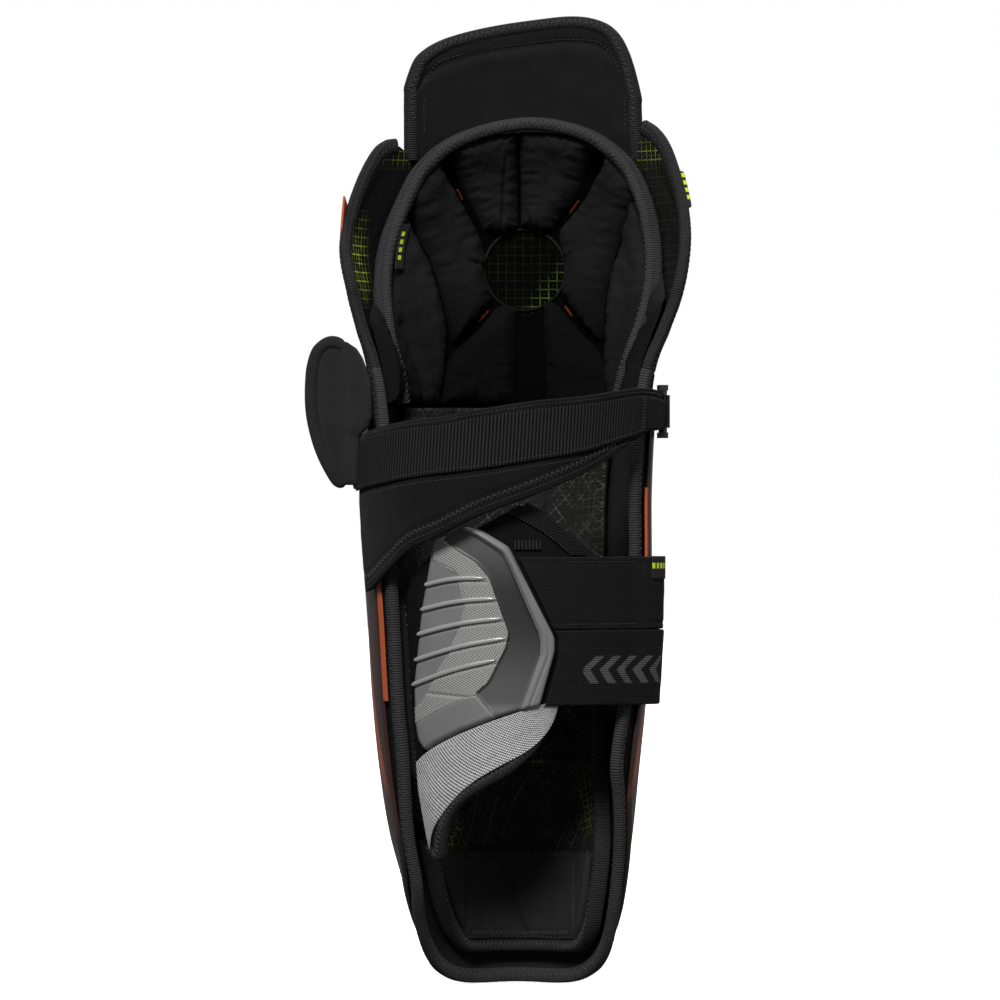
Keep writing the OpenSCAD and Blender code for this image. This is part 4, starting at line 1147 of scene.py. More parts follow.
RIM_XZ = [(-78.4, 339.7), (-72.8, 360.9), (-67.8, 380.7), (-63.6, 400.5), (-58.7, 417.5), (-51.6, 430.2), (-38.2, 442.2), (-19.8, 450),
          (1.4, 453.1), (22.6, 452.5), (41, 447.9), (55.1, 438.7), (65, 424.5), (71.4, 407.6), (74.9, 387.8), (77.5, 366.6), (76.3, 349.6),
          (74, 330)]
rev = lambda c: [tuple(q) for q in np.asarray(c)[::-1]]
ULs = [(-18.5, 397.5), (-23.3, 407), (-29.8, 419.3), (-38.5, 434.5)]
ULt = [(-15.5, 399.5), (-19.5, 407.8), (-25.8, 421), (-34.5, 437)]
URs = [(22.6, 398.0), (28.3, 406.5), (35.2, 415.5), (45.5, 434)]
URt = [(19.8, 400.0), (24.8, 407.8), (31.5, 417.5), (41, 438)]
SL = [(-32.8, 331), (-33.4, 349.6), (-37, 365.2), (-42, 382.1), (-48.4, 394.9), (-57, 411)]
SR = [(43.6, 331), (44.2, 346), (45.2, 362.3), (48.4, 377.9), (53.4, 394.9), (58, 413.5)]
LLd = [(-11.8, 361.5), (-20.6, 350), (-31.6, 339)]
LLb = [(-9.5, 358.0), (-18.0, 346.5), (-33.6, 329), (-38, 306)]
LRd = [(24.2, 364), (31.8, 352.8), (43, 340)]
LRb = [(21.6, 359.4), (29.6, 348.4), (43.2, 330), (46, 306)]

top_l = rimx((-34.5, 441), (3, 452), 9)
pillow("knee_pad_top_left_v", ([ULt[0], *warc(-38, -4, 5)[1:-1], (2.0, 401.6)], [tuple(q) for q in rimx((-34.5, 441), (1.6, 452), 9)],
                               [ULt[0], *ULt[1:-1], tuple(rimx((-34.5, 441), (1.6, 452), 9)[0])], [(2.0, 401.6), (2.0, 425), tuple(rimx((-34.5, 441), (1.6, 452), 9)[-1])]),
       8.2, [], MT["pad"], creases=[([(-5.4, 437.3), (-6.1, 420.3), (-6.4, 405)], 1.8, 1.2)], seed=2)
pillow("knee_pad_top_right_v", ([(3.0, 401.6), *warc(0, 36, 5)[1:-1], URt[0]], [tuple(q) for q in rimx((2.6, 452), (41, 445), 9)],
                                [(3.0, 401.6), (3.0, 425), tuple(rimx((2.6, 452), (41, 445), 9)[0])], [URt[0], *URt[1:-1], tuple(rimx((2.6, 452), (41, 445), 9)[-1])]),
       8.2, ["knee_pad_top"], MT["pad"], creases=[([(6.0, 410.4), (7.8, 402.9)], 1.0, 1.5)], seed=5)
rl = rimx((-57, 418), (-38.5, 440), 7)
pillow("knee_pad_left_v", ([(-31.8, 338.9), *LLd[::-1][1:]], [tuple(q) for q in rl[:-1]] + [ULs[-1]],
                           [(-31.8, 338.9), *SL[1:-1], tuple(rl[0])], [LLd[0], *warc(-128, -62, 7)[1:-1], *ULs]),
       8.6, ["knee_pad_left"], MT["pad"], creases=[([(-27.3, 383.2), (-17.9, 381.4)], 2.0, 1.3)], seed=3)
rr = rimx((45.5, 442), (59, 420), 7)
pillow("knee_pad_right_v", ([LRd[0], *LRd[1:]], [URs[-1], *[tuple(q) for q in rr[1:]]],
                            [LRd[0], *warc(118, 62, 7)[1:-1], *URs], [LRd[-1], *SR[1:-1], tuple(rr[-1])]),
       8.6, ["knee_pad_right"], MT["pad"], creases=[([(27.3, 382.8), (33.2, 388.5)], 1.6, 1.3)], seed=4)
pillow("knee_pad_bottom_left_v", ([LLb[-1], (-18, 305.5), (.2, 305.5)], [LLb[0], *warc(-142, -168, 4)[1:], (.5, 355.2)],
                                  [*LLb[::-1]], [(.2, 305.5), (.6, 335), (.5, 355.2)]),
       7.4, [], MT["pad"], seed=6, nv=44, nu=40, w=7.5)
pillow("knee_pad_bottom_right_v", ([(15.2, 305.5), (30, 305.5), LRb[-1]], [(14.6, 357.3), *warc(152, 142, 3), LRb[0]],
                                   [(15.2, 305.5), (14.9, 335), (14.6, 357.3)], [*LRb[::-1]]),
       7.4, ["knee_pad_bottom"], MT["pad"], seed=7, nv=44, nu=40, w=7.5)
sl_out = [(-67.5, 306), (-71.5, 322), (-73.6, 339), (-69.6, 360), (-64.8, 380), (-60.8, 399), (-59, 411)]
pillow("knee_side_pad_left_v", ([sl_out[0], (-52, 305.6), (-39, 306)], [sl_out[-1], (-58.2, 411.5), (-57.6, 411)], sl_out,
                                [(-39, 306), (-35.2, 328), *[(a - 1.6, b) for a, b in SL[1:-1]], (-57.6, 411)]),
       7.4, ["knee_side_pad_left"], MT["side"], creases=[([(-62.5, 351), (-56.5, 337), (-50.4, 316), (-49, 308)], 2.6, 2.0)], seed=8, w=8)
sr_out = [(67, 306), (69.5, 322), (71.5, 337), (72.6, 349.6), (73.6, 366.6), (71, 387.8), (67.4, 406), (61, 415)]
pillow("knee_side_pad_right_v", ([(47, 306), (58, 305.6), sr_out[0]], [(58.8, 414), (60, 414.6), sr_out[-1]],
                                 [(47, 306), (45.2, 328), *[(a + 1.6, b) for a, b in SR[1:-1]], (58.8, 414)], sr_out),
       7.4, ["knee_side_pad_right"], MT["side"], creases=[([(69.7, 353.9), (63.6, 342.6), (57.0, 322), (55, 308)], 2.4, 2.0)], seed=9, w=8)


# backing mesh, with the window bulging a little
def kmesh_pos(u, v, off):
    th = mix(-70, 70, u)
    z = mix(305.5, lin(RIM, th) - 4, v)
    return P(z, th, liner_o(z) + off)


def kmesh_xz(u, v):
    q = kmesh_pos(u, v, 0)
    return q[..., 0], q[..., 2]


def win_puff(u, v):
    x, z = kmesh_xz(u, v)
    r = np.hypot((x - WC[0]) / WX, (z - WC[1]) / WZ)
    return .9 * ease((1.1 - r) / .8) + .15 * fbm(x * .2, z * .2, 4)


def win_zone(u, v):
    x, z = kmesh_xz(u, v)
    r = np.hypot((x - WC[0]) / WX, (z - WC[1]) / WZ)
    return ease((1.12 - r) / .12) * (.08 + .92 * ease(((x - 14) - (z - 374) * .8 + 2) / 16)) * .75


slab("knee_mesh_v", kmesh_pos, 110, 90, 1.0, .01, .01, mid=-.55, pi_=win_puff, mats=(MT["fold"], MT["window"]), rep=["knee_mesh"],
     slot="liner_mesh", zone=win_zone, uvf=lambda u, v: kmesh_xz(u, v))


def kstrip(name, a, b, mat_, depth=1.4, width=2.0, n=40):
    """A soft strip along a curve on the knee liner's backing."""
    q = spline([*a], .8)
    p = kpos(q[:, 0], q[:, 1], depth)
    th = frontth(q[:, 0], q[:, 1])
    return sweep(name, p, -NR(q[:, 1], th), oval(width, b, 14, .7), mat_, "shell", (), wob=.12)


mids = lambda A, B: [((a + c) / 2, (b + d) / 2) for (a, b), (c, d) in zip(A, B)]
kstrip("slit_foam_left_v", [(-26.2, 415.7), (-27.6, 418.8), (-28.9, 421.4)], .9, MT["foam"], 1.7, .55)
kstrip("slit_foam_right_v", [(27.8, 408.8), (30.0, 412.1), (32.2, 415.3)], .9, MT["foam"], 1.7, .55)
kstrip("slit_foam_lower_left_v", [(-13.4, 356.4), (-18.0, 350.6)], .9, MT["foam"], 1.7, .6)
kstrip("slit_foam_lower_right_v", [(25.2, 358.8), (28.8, 353.4)], .9, MT["foam"], 1.7, .55)
# piping round the window
wq = np.vstack([warc(0, 360, 60, 1.0)])
wp = kpos(wq[:, 0], wq[:, 1], 1.9)
sweep("window_piping_v", wp, -NR(wq[:, 1], frontth(wq[:, 0], wq[:, 1])), oval(.8, .9, 12, .8), MT["pad"], "shell", ())

# rim binding: soft folded tape with a zigzag on its inner face; the points of a running seam inside it are listed below
# but not used
RIMV = [(-68, 307), (-72.5, 321)] + [tuple(q) for q in RIM] + [(74.5, 321), (70, 307)]
rs = np.array([[r, a, b] for r, (a, b) in enumerate(RIMV)])
tt = np.linspace(0, len(RIMV) - 1, 460)
rth, rz = herm(rs, tt, 1), herm(rs, tt, 2)
rp = P(rz, rth, pad_o(rz) - 3.3)
rn = NR(rz, rth)
sweep("knee_rim_binding_v", rp, rn, oval(3.5, 4.8, 24, .7), MT["bind2"], "shell", ["knee_rim_binding"], wob=.05)
ZIG.append(("shell", (rp, -rn, 0, 4.72, "zig", 1.5, 1.8, .33)))
rin = [(-52.3, 428.3), (-39.6, 435.6), (-28.3, 441.6), (-5.6, 446.6), (14.1, 446.8), (36.8, 442.3), (50.9, 435.3)]


# ---- small parts on the shell
def flatpiece(name, pos, nu, nv, t, mid, mat_, rep, slot, **k):
    return slab(name, pos, nu, nv, t, mid=mid, mats=mat_, rep=rep, slot=slot, **k)


flatpiece("left_loop_patch_v", rect(263, 288, -107, -96), 14, 20, .6, 3.2, MT["pile"], ["left_loop_patch"], "loop_pile", po=lambda u, v: .15 * fbm(u * 20, v * 20, 2))
flatpiece("right_loop_patch_v", rect(150, 224, 73, 100), 30, 60, 1.1, 3.5, MT["pile"], ["right_loop_patch"], "loop_pile", po=lambda u, v: .15 * fbm(u * 30, v * 40, 3))
flatpiece("strap_anchor_v", rect(294, 310, 62, 90), 50, 16, 1.7, 4.0, MT["web"], ["strap_anchor"], "webbing_tape")
flatpiece("size_tag_v", lambda u, v, off: P(mix(378, 402, v), mix(-60, -54, u) + 5 * v, pad_o(mix(378, 402, v)) - 7.9 + off), 12, 24, .8, 0.1, MT["tag"], ["size_tag"], "tag_fabric",
          eu=.08, ev=.04)
flatpiece("wing_tag_v", lambda u, v, off: P(mix(410, 430, v), 78 - 7 * v + 1.6 * u, off), 8, 24, 3.4, 2.3, MT["tag"], ["wing_tag"], "tag_fabric", eu=.15, ev=.08)


# ------------------------------------------------------------------ thigh guard
TT = [[-56, 472], [-54.5, 481], [-51, 488], [-45, 494], [-34, 499.5], [-13, 505], [13, 509], [32, 510.5], [45, 508], [53, 502],
      [58.5, 491], [62, 479], [64.5, 468]]


def thx(u, v):
    return mix(-55.5, 64, u) + 2.5 * u * (1 - v) ** 2


def thz(u, v):
    return mix(434.4, herm(TT, mix(-55.5, 64, u)), v)


def thy(x, z):
    return 68 - .06 * (z - 444) - (x - 5) ** 2 / 300


def thigh_pos(u, v, off):
    x, z = thx(u, v), thz(u, v)
    y = thy(x, z)
    # its foot runs down in front of the knee liner's rim
    y = np.where(z < 450, y + 1.0 * (450 - z) / 13, y)
    return np.stack([x, y + off, z], -1)


def thigh_puff(u, v):
    x, z = thx(u, v), thz(u, v)
    e = ease(5 * np.minimum(u, 1 - u)) * ease(5 * (1 - v))
    h = .9 * e + .35 * fbm(x * .05, z * .06, 21)
    # soft hollow below the top band, and the band's own roll
    dtop = herm(TT, x) - z
    h = h - 1.5 * np.exp(-((dtop - 10.5) / 2.2) ** 2) + .5 * np.exp(-((dtop - 16) / 4.5) ** 2)
    h = h - .6 * np.exp(-((x - 10 - .2 * (z - 470)) / 9) ** 2) * ease((470 - z) / 20)
    return h


tg = slab("thigh_pad_v", thigh_pos, 110, 70, 4.9, .03, .03, mid=0, po=lambda u, v: .5 + 0 * u, pi_=thigh_puff, mats=(MT["thigh"], MT["thigh"]),
          body=None, rep=["thigh_pad"], slot="thigh_neoprene", k=5)

TB = [(0, v) for v in np.arange(.05, .99, .1)] + [(u, 1) for u in np.arange(0, 1.001, .04)] + [(1, v) for v in np.arange(.9, .13, -.1)] + [(1, .07)]
tbp = np.array([[float(thx(u, v)), float(thy(thx(u, v), thz(u, v))), float(thz(u, v))] for u, v in TB])
tbp = spline(tbp, 1.0)
tbn = unit(np.column_stack([(tbp[:, 0] - 5) / 100, np.ones(len(tbp)), np.zeros(len(tbp))]))
tbind = sweep("thigh_binding_v", tbp, tbn, oval(3.3, 3.7, 22, .7), MT["bind"], "thigh_guard", ["thigh_binding"], wob=.05)
tz0 = int(np.argmax(tbp[:, 2] > 458))
tz1 = len(tbp) - int(np.argmax(tbp[::-1, 2] > 450))
ZIG.append(("thigh_guard", (tbp[tz0:tz1], -tbn[tz0:tz1], 0, 3.62, "zig", 1.5, 1.7, .3)))
ZIG.append(("thigh_guard", (tbp, tbn, 0, 3.62, "zig", 1.5, 1.7, .3)))
# running seam inside the binding
tsp = np.array([[float(thx(u, v)), 0, float(thz(u, v))] for u, v in
                [(.06, .3), (.06, .6), (.075, .8), (.13, .875)] + [(u, .88) for u in (.25, .4, .55, .7, .85)] + [(.93, .8), (.95, .6), (.95, .3)]])
tsp = spline(tsp, 1.0)
tsp[:, 1] = thy(tsp[:, 0], tsp[:, 2]) - 2.7
tsn = np.tile([0, -1.0, 0], (len(tsp), 1))
ZIG.append(("thigh_guard", (tsp, tsn, 0, -.1, "run", 2.6, 0, .2)))

# ------------------------------------------------------------------ upper strap
US = [[100, 293, 312, 293], [108, 292, 313, 292], [117, 291, 314, 291.5], [127, 285, 314, 289], [137, 278, 312.5, 286], [150, 269, 310, 281],
      [171, 257, 307, 276], [190, 247, 303, 271.5], [206, 236.5, 299, 269], [220, 229, 297, 266.5], [231, 219, 295, 264], [244, 209, 292, 261.5],
      [251, 207, 290, 260]]
so = 4.2
lowz = lambda th: herm(US, th, 1)
topz = lambda th: herm(US, th, 2)
webz = lambda th: herm(US, th, 3)


def cw_pos(u, v, off):
    th = mix(100.2, 251, u)
    return P(mix(lowz(th), topz(th), v), th, so + off)


def cw_puff(u, v):
    th = mix(100.2, 251, u)
    z = mix(lowz(th), topz(th), v)
    d = z - lowz(th)
    h = -.55 * np.exp(-((d - 9.5) / 1.0) ** 2) * ease((th - 118) / 12)
    h = h - .45 * np.exp(-((webz(th) - z - 1.5) / 1.6) ** 2) * ease((th - 118) / 12)
    h = h + .25 * fbm(th * .12, z * .09, 31)
    return h * ease((z - lowz(th)) / 2 + .2)


slab("calf_wing_v", cw_pos, 200, 60, 3.0, .006, .03, mid=1.65, po=cw_puff, mats=(MT["calf"], MT["jersey2"]), body="upper_strap",
     rep=["calf_wing"], slot="wing_neoprene", k=5)
slab("calf_wing_end_v", lambda u, v, off: P(mix(261, 290, v), mix(250, 261, u), so + off), 20, 24, 2.4, .06, .06, mid=1.55, mats=MT["calf"],
     body="upper_strap", slot="wing_neoprene")


def wb_pos(u, v, off):
    th = mix(100.4, 251, u)
    return P(mix(webz(th), topz(th) - 4.5, v), th, so + off)


slab("webbing_v", wb_pos, 220, 26, 1.3, .004, .03, mid=4.02, po=lambda u, v: .0 * u, mats=MT["web"], body="upper_strap", rep=["webbing"],
     slot="webbing_tape")
# finer weave and bar tack at the right end
slab("webbing_end_v", lambda u, v, off: P(mix(webz(mix(101, 122, u)) + 1, topz(mix(101, 122, u)) - 5.5, v), mix(101, 122, u), so + off), 40, 20, .5, .03, .05,
     mid=4.85, mats=MT["strap"], body="upper_strap", slot="webbing_tape")
for th0 in (122.5,):
    zz = np.linspace(float(webz(th0)) + 1.5, float(topz(th0)) - 6, 24)
    p_ = P(zz, th0, so + 5.1)
    ZIG.append(("upper_strap", (p_, NR(zz, th0), 0, 0, "zig", .8, 1.6, .28)))
for dz, amp, kind, pitch in ((-3.4, 0, "run", 1.9), (-5.6, 0, "run", 1.9)):
    th_ = np.linspace(124, 248, 240)
    z_ = webz(th_) + dz
    p_ = P(z_, th_, so + 3.15)
    if dz == -3.4:
        ZIG.append(("upper_strap", (p_, NR(z_, th_), 0, 0, kind, pitch, amp, .24)))
for f, kind, pitch, amp in ((7.2, "zig", 1.5, 1.25), (3.6, "run", 2.0, 0)):
    th_ = np.linspace(126, 249, 260)
    z_ = lowz(th_) + f
    p_ = P(z_, th_, so + 3.2)
    ZIG.append(("upper_strap", (p_, NR(z_, th_), 0, 0, kind, pitch, amp, .26)))
th_ = np.linspace(104, 249, 260)
for dz in (1.6,):
    z_ = webz(th_) + dz
    ZIG.append(("upper_strap", (P(z_, th_, so + 4.72), NR(z_, th_), 0, 0, "run", 2.1, 0, .2)))
z_ = topz(th_) - 2.4
ZIG.append(("upper_strap", (P(z_, th_, so + 3.2), NR(z_, th_), 0, 0, "run", 2.1, 0, .22)))

# eye round the loop's bar
PIN = P(302, 98, 7.4)
zz = np.linspace(293.4, 310.6, 18)
ang = np.linspace(0, TAU, 28)
ro, ri = 3.3, 1.95
VV = []
for z0 in zz:
    w_ = 1 + .02 * math.sin(z0 * 3.4)
    for r_ in (ro * w_, ri):
        VV.append(np.column_stack([PIN[0] + r_ * np.cos(ang[:-1]), PIN[1] + r_ * np.sin(ang[:-1]), np.full(27, z0)]))
VV = np.array(VV).reshape(len(zz), 2, 27, 3)
qs = []
for i in range(len(zz) - 1):
    for s_, sg in ((0, 1), (1, -1)):
        a = (i * 2 + s_) * 27 + np.arange(27)
        b = (i * 2 + s_) * 27 + (np.arange(27) + 1) % 27
        q = np.column_stack([a, b, b + 54, a + 54])
        qs.append(q if sg > 0 else q[:, ::-1])
for i, sg in ((0, -1), (len(zz) - 1, 1)):
    a = (i * 2) * 27 + np.arange(27)
    b = (i * 2) * 27 + (np.arange(27) + 1) % 27
    q = np.column_stack([a, b, b + 27, a + 27])
    qs.append(q if sg < 0 else q[:, ::-1])
Vf = VV.reshape(-1, 3)
uvf = np.column_stack([np.degrees(np.arctan2(Vf[:, 1] - PIN[1], Vf[:, 0] - PIN[0])) * .06, Vf[:, 2]])
make("webbing_eye_v", Vf, np.concatenate(qs), uv=uvf, mats=MT["web"], body="upper_strap", rep=["webbing_eye"])
slab("upper_hook_patch_v", lambda u, v, off: P(mix(264, 287, v), mix(252, 260, u), so + off), 14, 20, .4, .05, .05, mid=-.1, mats=MT["hookp"],
     body="upper_strap", rep=["upper_hook_patch"], slot="hook_plastic")

# ------------------------------------------------------------------ pull tab
TL = [[260, -90], [266, -96], [275, -101.5], [288, -106.5], [303, -109.5], [320, -109.5], [331, -107.5], [337, -103.5], [341, -98]]
TR = [[260, -83.5], [264, -82.4], [286, -82.2], [289.0, -81.6], [291.4, -79.4], [293.6, -77.2], [298, -75.8], [306, -75.6], [316, -76.1], [324, -78.0], [330, -80.2], [335, -83.5],
      [339, -89], [341, -93.5]]
TY = float(P(275, 261, 5)[1])


def tabp(u, v, off):
    """The tab: flat to the left of its fold, and bending back round the shell to the right of it."""
    z = mix(260, 341, v)
    x = mix(lin(TL_, z), lin(TR_, z), u)
    t = np.clip((x + 94.0) / 18.0, 0, 1.2)
    t = t * t / (t + .5) * 1.5
    y = TY - 20.0 * t
    k = ease(t * 2)
    return np.stack([x - off * .82 * k, y - off * mix(1, .57, k), z], -1)


zt_ = np.linspace(260, 341, 163)
TL_ = np.column_stack([zt_, herm(TL, zt_)])
TR_ = np.column_stack([zt_, lin(TR, zt_)])


def tab_puff(u, v):
    z = mix(260, 341, v)
    x = mix(lin(TL_, z), lin(TR_, z), u)
    return .7 * ease(4 * np.minimum(u, 1 - u)) * ease(6 * np.minimum(v, 1 - v)) + .25 * fbm(x * .16, z * .07, 41)


tabo = slab("tab_pad_v", lambda u, v, off: tabp(mix(.08, 1, u), mix(.04, .97, v), off), 50, 110, 3.2, .09, .04, po=tab_puff, pi_=tab_puff,
            mats=MT["tab"], body=None, rep=["tab_pad"], slot="tab_fabric", k=5)


def tab_edge(pts, dy=0.0):
    """A curve over the tab's middle surface, from (x, z) points."""
    q = spline(pts, .9)
    t = np.clip((q[:, 0] + 94.0) / 18.0, 0, 1.2)
    return np.column_stack([q[:, 0], TY - 20.0 * t * t / (t + .5) * 1.5 + dy, q[:, 1]])


tb = tab_edge([(-89.6, 263.4), (-92.8, 265.0)] + [(float(herm(TL, z)) + 2.4, z) for z in range(269, 334, 8)]
              + [(-100.4, 337.0), (-96.6, 338.5), (-92.8, 337.7), (-89.6, 335.2)])
tn_ = np.tile([0, -1.0, 0], (len(tb), 1))
Lt = np.concatenate([[0], np.cumsum(np.linalg.norm(np.diff(tb, axis=0), axis=1))])
te = np.clip(np.minimum(Lt, Lt[-1] - Lt) / 6.0, .02, 1)
te = np.sqrt(1 - (1 - te) ** 2)
sweep("tab_border_v", tb, tn_, oval(3.3, 3.1, 22, .8), MT["tab"], "pull_tab", ["tab_border"],
      scale=np.column_stack([te, te]), wob=.05)
ti = tab_edge([(float(herm(TL, z)) + 6.6, z) for z in range(273, 330, 8)], -2.0)
ZIG.append(("pull_tab", (ti, np.tile([0, -1.0, 0], (len(ti), 1)), 0, 0, "run", 2.0, 0, .24)))

# ------------------------------------------------------------------ calf flap
FLO = [[135, 216], [142, 192], [152, 166], [160, 147], [167, 130], [175, 121.5], [184, 114.5], [195, 108], [204, 102.5], [212, 96], [219, 88], [225, 78],
       [230, 71.5], [237, 76]]
FHI = [[135, 218.5], [139, 224], [143, 228], [155, 237], [165, 246.5], [172, 251.5], [178, 250], [184, 246.5], [196, 239], [206, 232.5],
       [218, 225.5], [230, 215.5], [237, 206]]
fo = -5.4
fback = lambda th: 1.6 * ease((th - 222) / 15)


def fpt(u, v, off):
    th = mix(136, 236.5, u)
    return P(mix(herm(FLO, th), herm(FHI, th), v), th, off - fback(th))


def flap_puff(u, v):
    th = mix(136, 236.5, u)
    z = mix(herm(FLO, th), herm(FHI, th), v)
    return .25 * fbm(th * .1, z * .06, 51) + .2


slab("flap_pad_v", fpt, 130, 90, 6.2, .02, .03, mid=fo - 3.3, pi_=flap_puff, mats=(MT["flap"], MT["flapin"]), body="calf_flap",
     rep=["flap_pad"], slot="flap_twill", k=5)
FB = [(237, 74), (230, 69.5), (225, 77), (219, 87.5), (212, 96), (204, 102.5), (195, 108), (184, 114), (175, 121), (167, 130), (160, 147), (152, 166), (142, 192), (135, 216),
      (143, 228), (155, 237), (165, 246.5), (172, 251)]
off_fb = lambda th, z: fo - 3.3 - fback(th)
p_, n_, th_, z_ = path_on(FB, off_fb, 1.0)
i_c = int(np.argmin(np.hypot(th_ - 135, z_ - 216)))
sweep("flap_binding_v", p_[:i_c + 6], n_[:i_c + 6], oval(3.7, 3.5, 22, .7), MT["bind"], "calf_flap", ["flap_binding"], wob=.06)
ZIG.append(("calf_flap", (p_[:i_c], n_[:i_c], 0, 3.42, "zig", 1.35, 1.9, .33)))
ZIG.append(("calf_flap", (p_[:i_c], -n_[:i_c], 0, 3.42, "zig", 1.35, 1.9, .33)))
# upper right band: wider, ribbed across
sweep("flap_ribbed_band_v", p_[i_c - 2:], n_[i_c - 2:], oval(3.7, 3.7, 22, .6), MT["ribband"], "calf_flap", [], wob=.03)

# broad ribbed border inside that band
bw = [(37, 226), (31, 234), (22.6, 242), (12.7, 249), (2, 253)]
bw2 = [(29, 226.5), (24, 231), (14, 239), (4, 245), (-4, 249.5)]


def band_pos(u, v, off):
    a, b = spline(bw, .5), spline(bw2, .5)
    ka, kb = np.linspace(0, 1, len(a)), np.linspace(0, 1, len(b))
    x = mix(np.interp(u, ka, a[:, 0]), np.interp(u, kb, b[:, 0]), v)
    z = mix(np.interp(u, ka, a[:, 1]), np.interp(u, kb, b[:, 1]), v)
    return P(z, backth(x, z, fo), fo + off)


slab("flap_band_v", band_pos, 60, 16, 1.2, .02, .08, mid=.7, mats=MT["ribband"], body="calf_flap", slot="binding_tape")
sb = spline(bw2, 1.0)
ZIG.append(("calf_flap", (P(sb[:, 1], backth(sb[:, 0], sb[:, 1], fo), fo + 1.2), NR(sb[:, 1], backth(sb[:, 0], sb[:, 1], fo)), 0, .1, "run", 1.8, 0, .22)))
slab("flap_bar_patch_v", lambda u, v, off: P(mix(229.5, 234.4, v), backth(mix(-1.0, 13.4, u), 232, fo), fo + off), 30, 12, 1.0, .05, .12, mid=.8,
     mats=MT["web"], body="calf_flap", slot="binding_tape")

# ---- moulded plate, cut to its outline
PO = rounded([(-46.4, 123.6), (-50.2, 129.7), (-51.5, 138.6), (-52.2, 158.2), (-48.3, 198.0), (-42.4, 233.2), (-26.6, 242.0), (-17.5, 239.6), (-3.2, 231.0),
              (2.4, 219.6), (20.2, 184.0), (20.4, 176.6), (12.6, 147.6), (1.4, 145.4), (-11.3, 141.2), (-28.3, 134.3), (-39.6, 128.4)], 2.6, .6, True)
FR_IN = [tuple(q) for q in rounded([(-27.5, 240.5), (-19.8, 236.6), (-6.6, 227.6), (-2.8, 220.6), (12.4, 184.6), (12.9, 175.0), (2.6, 146.2)], 2.2, .8)]
BD_IN = [tuple(q) for q in rounded([(-36.5, 233.5), (-19.8, 222.7), (-13.4, 214.9), (-3.4, 186.0), (-5.0, 178.6), (-13.6, 160.6), (-20.4, 154.6), (-16.5, 149.5),
                                    (-8, 139)], 2.0, .8)]
LENS = [(-8, 139), (-16.5, 149.5), (-20.4, 153.6), (-28.3, 151.0), (-39.6, 145.3), (-54.3, 135.9)]
PLN = [(-41.7, 223.7), (-29.7, 216.8), (-26.1, 199.8), (-28.3, 189.9), (-33.9, 175.8), (-39.6, 165.9), (-48.1, 148.9)]


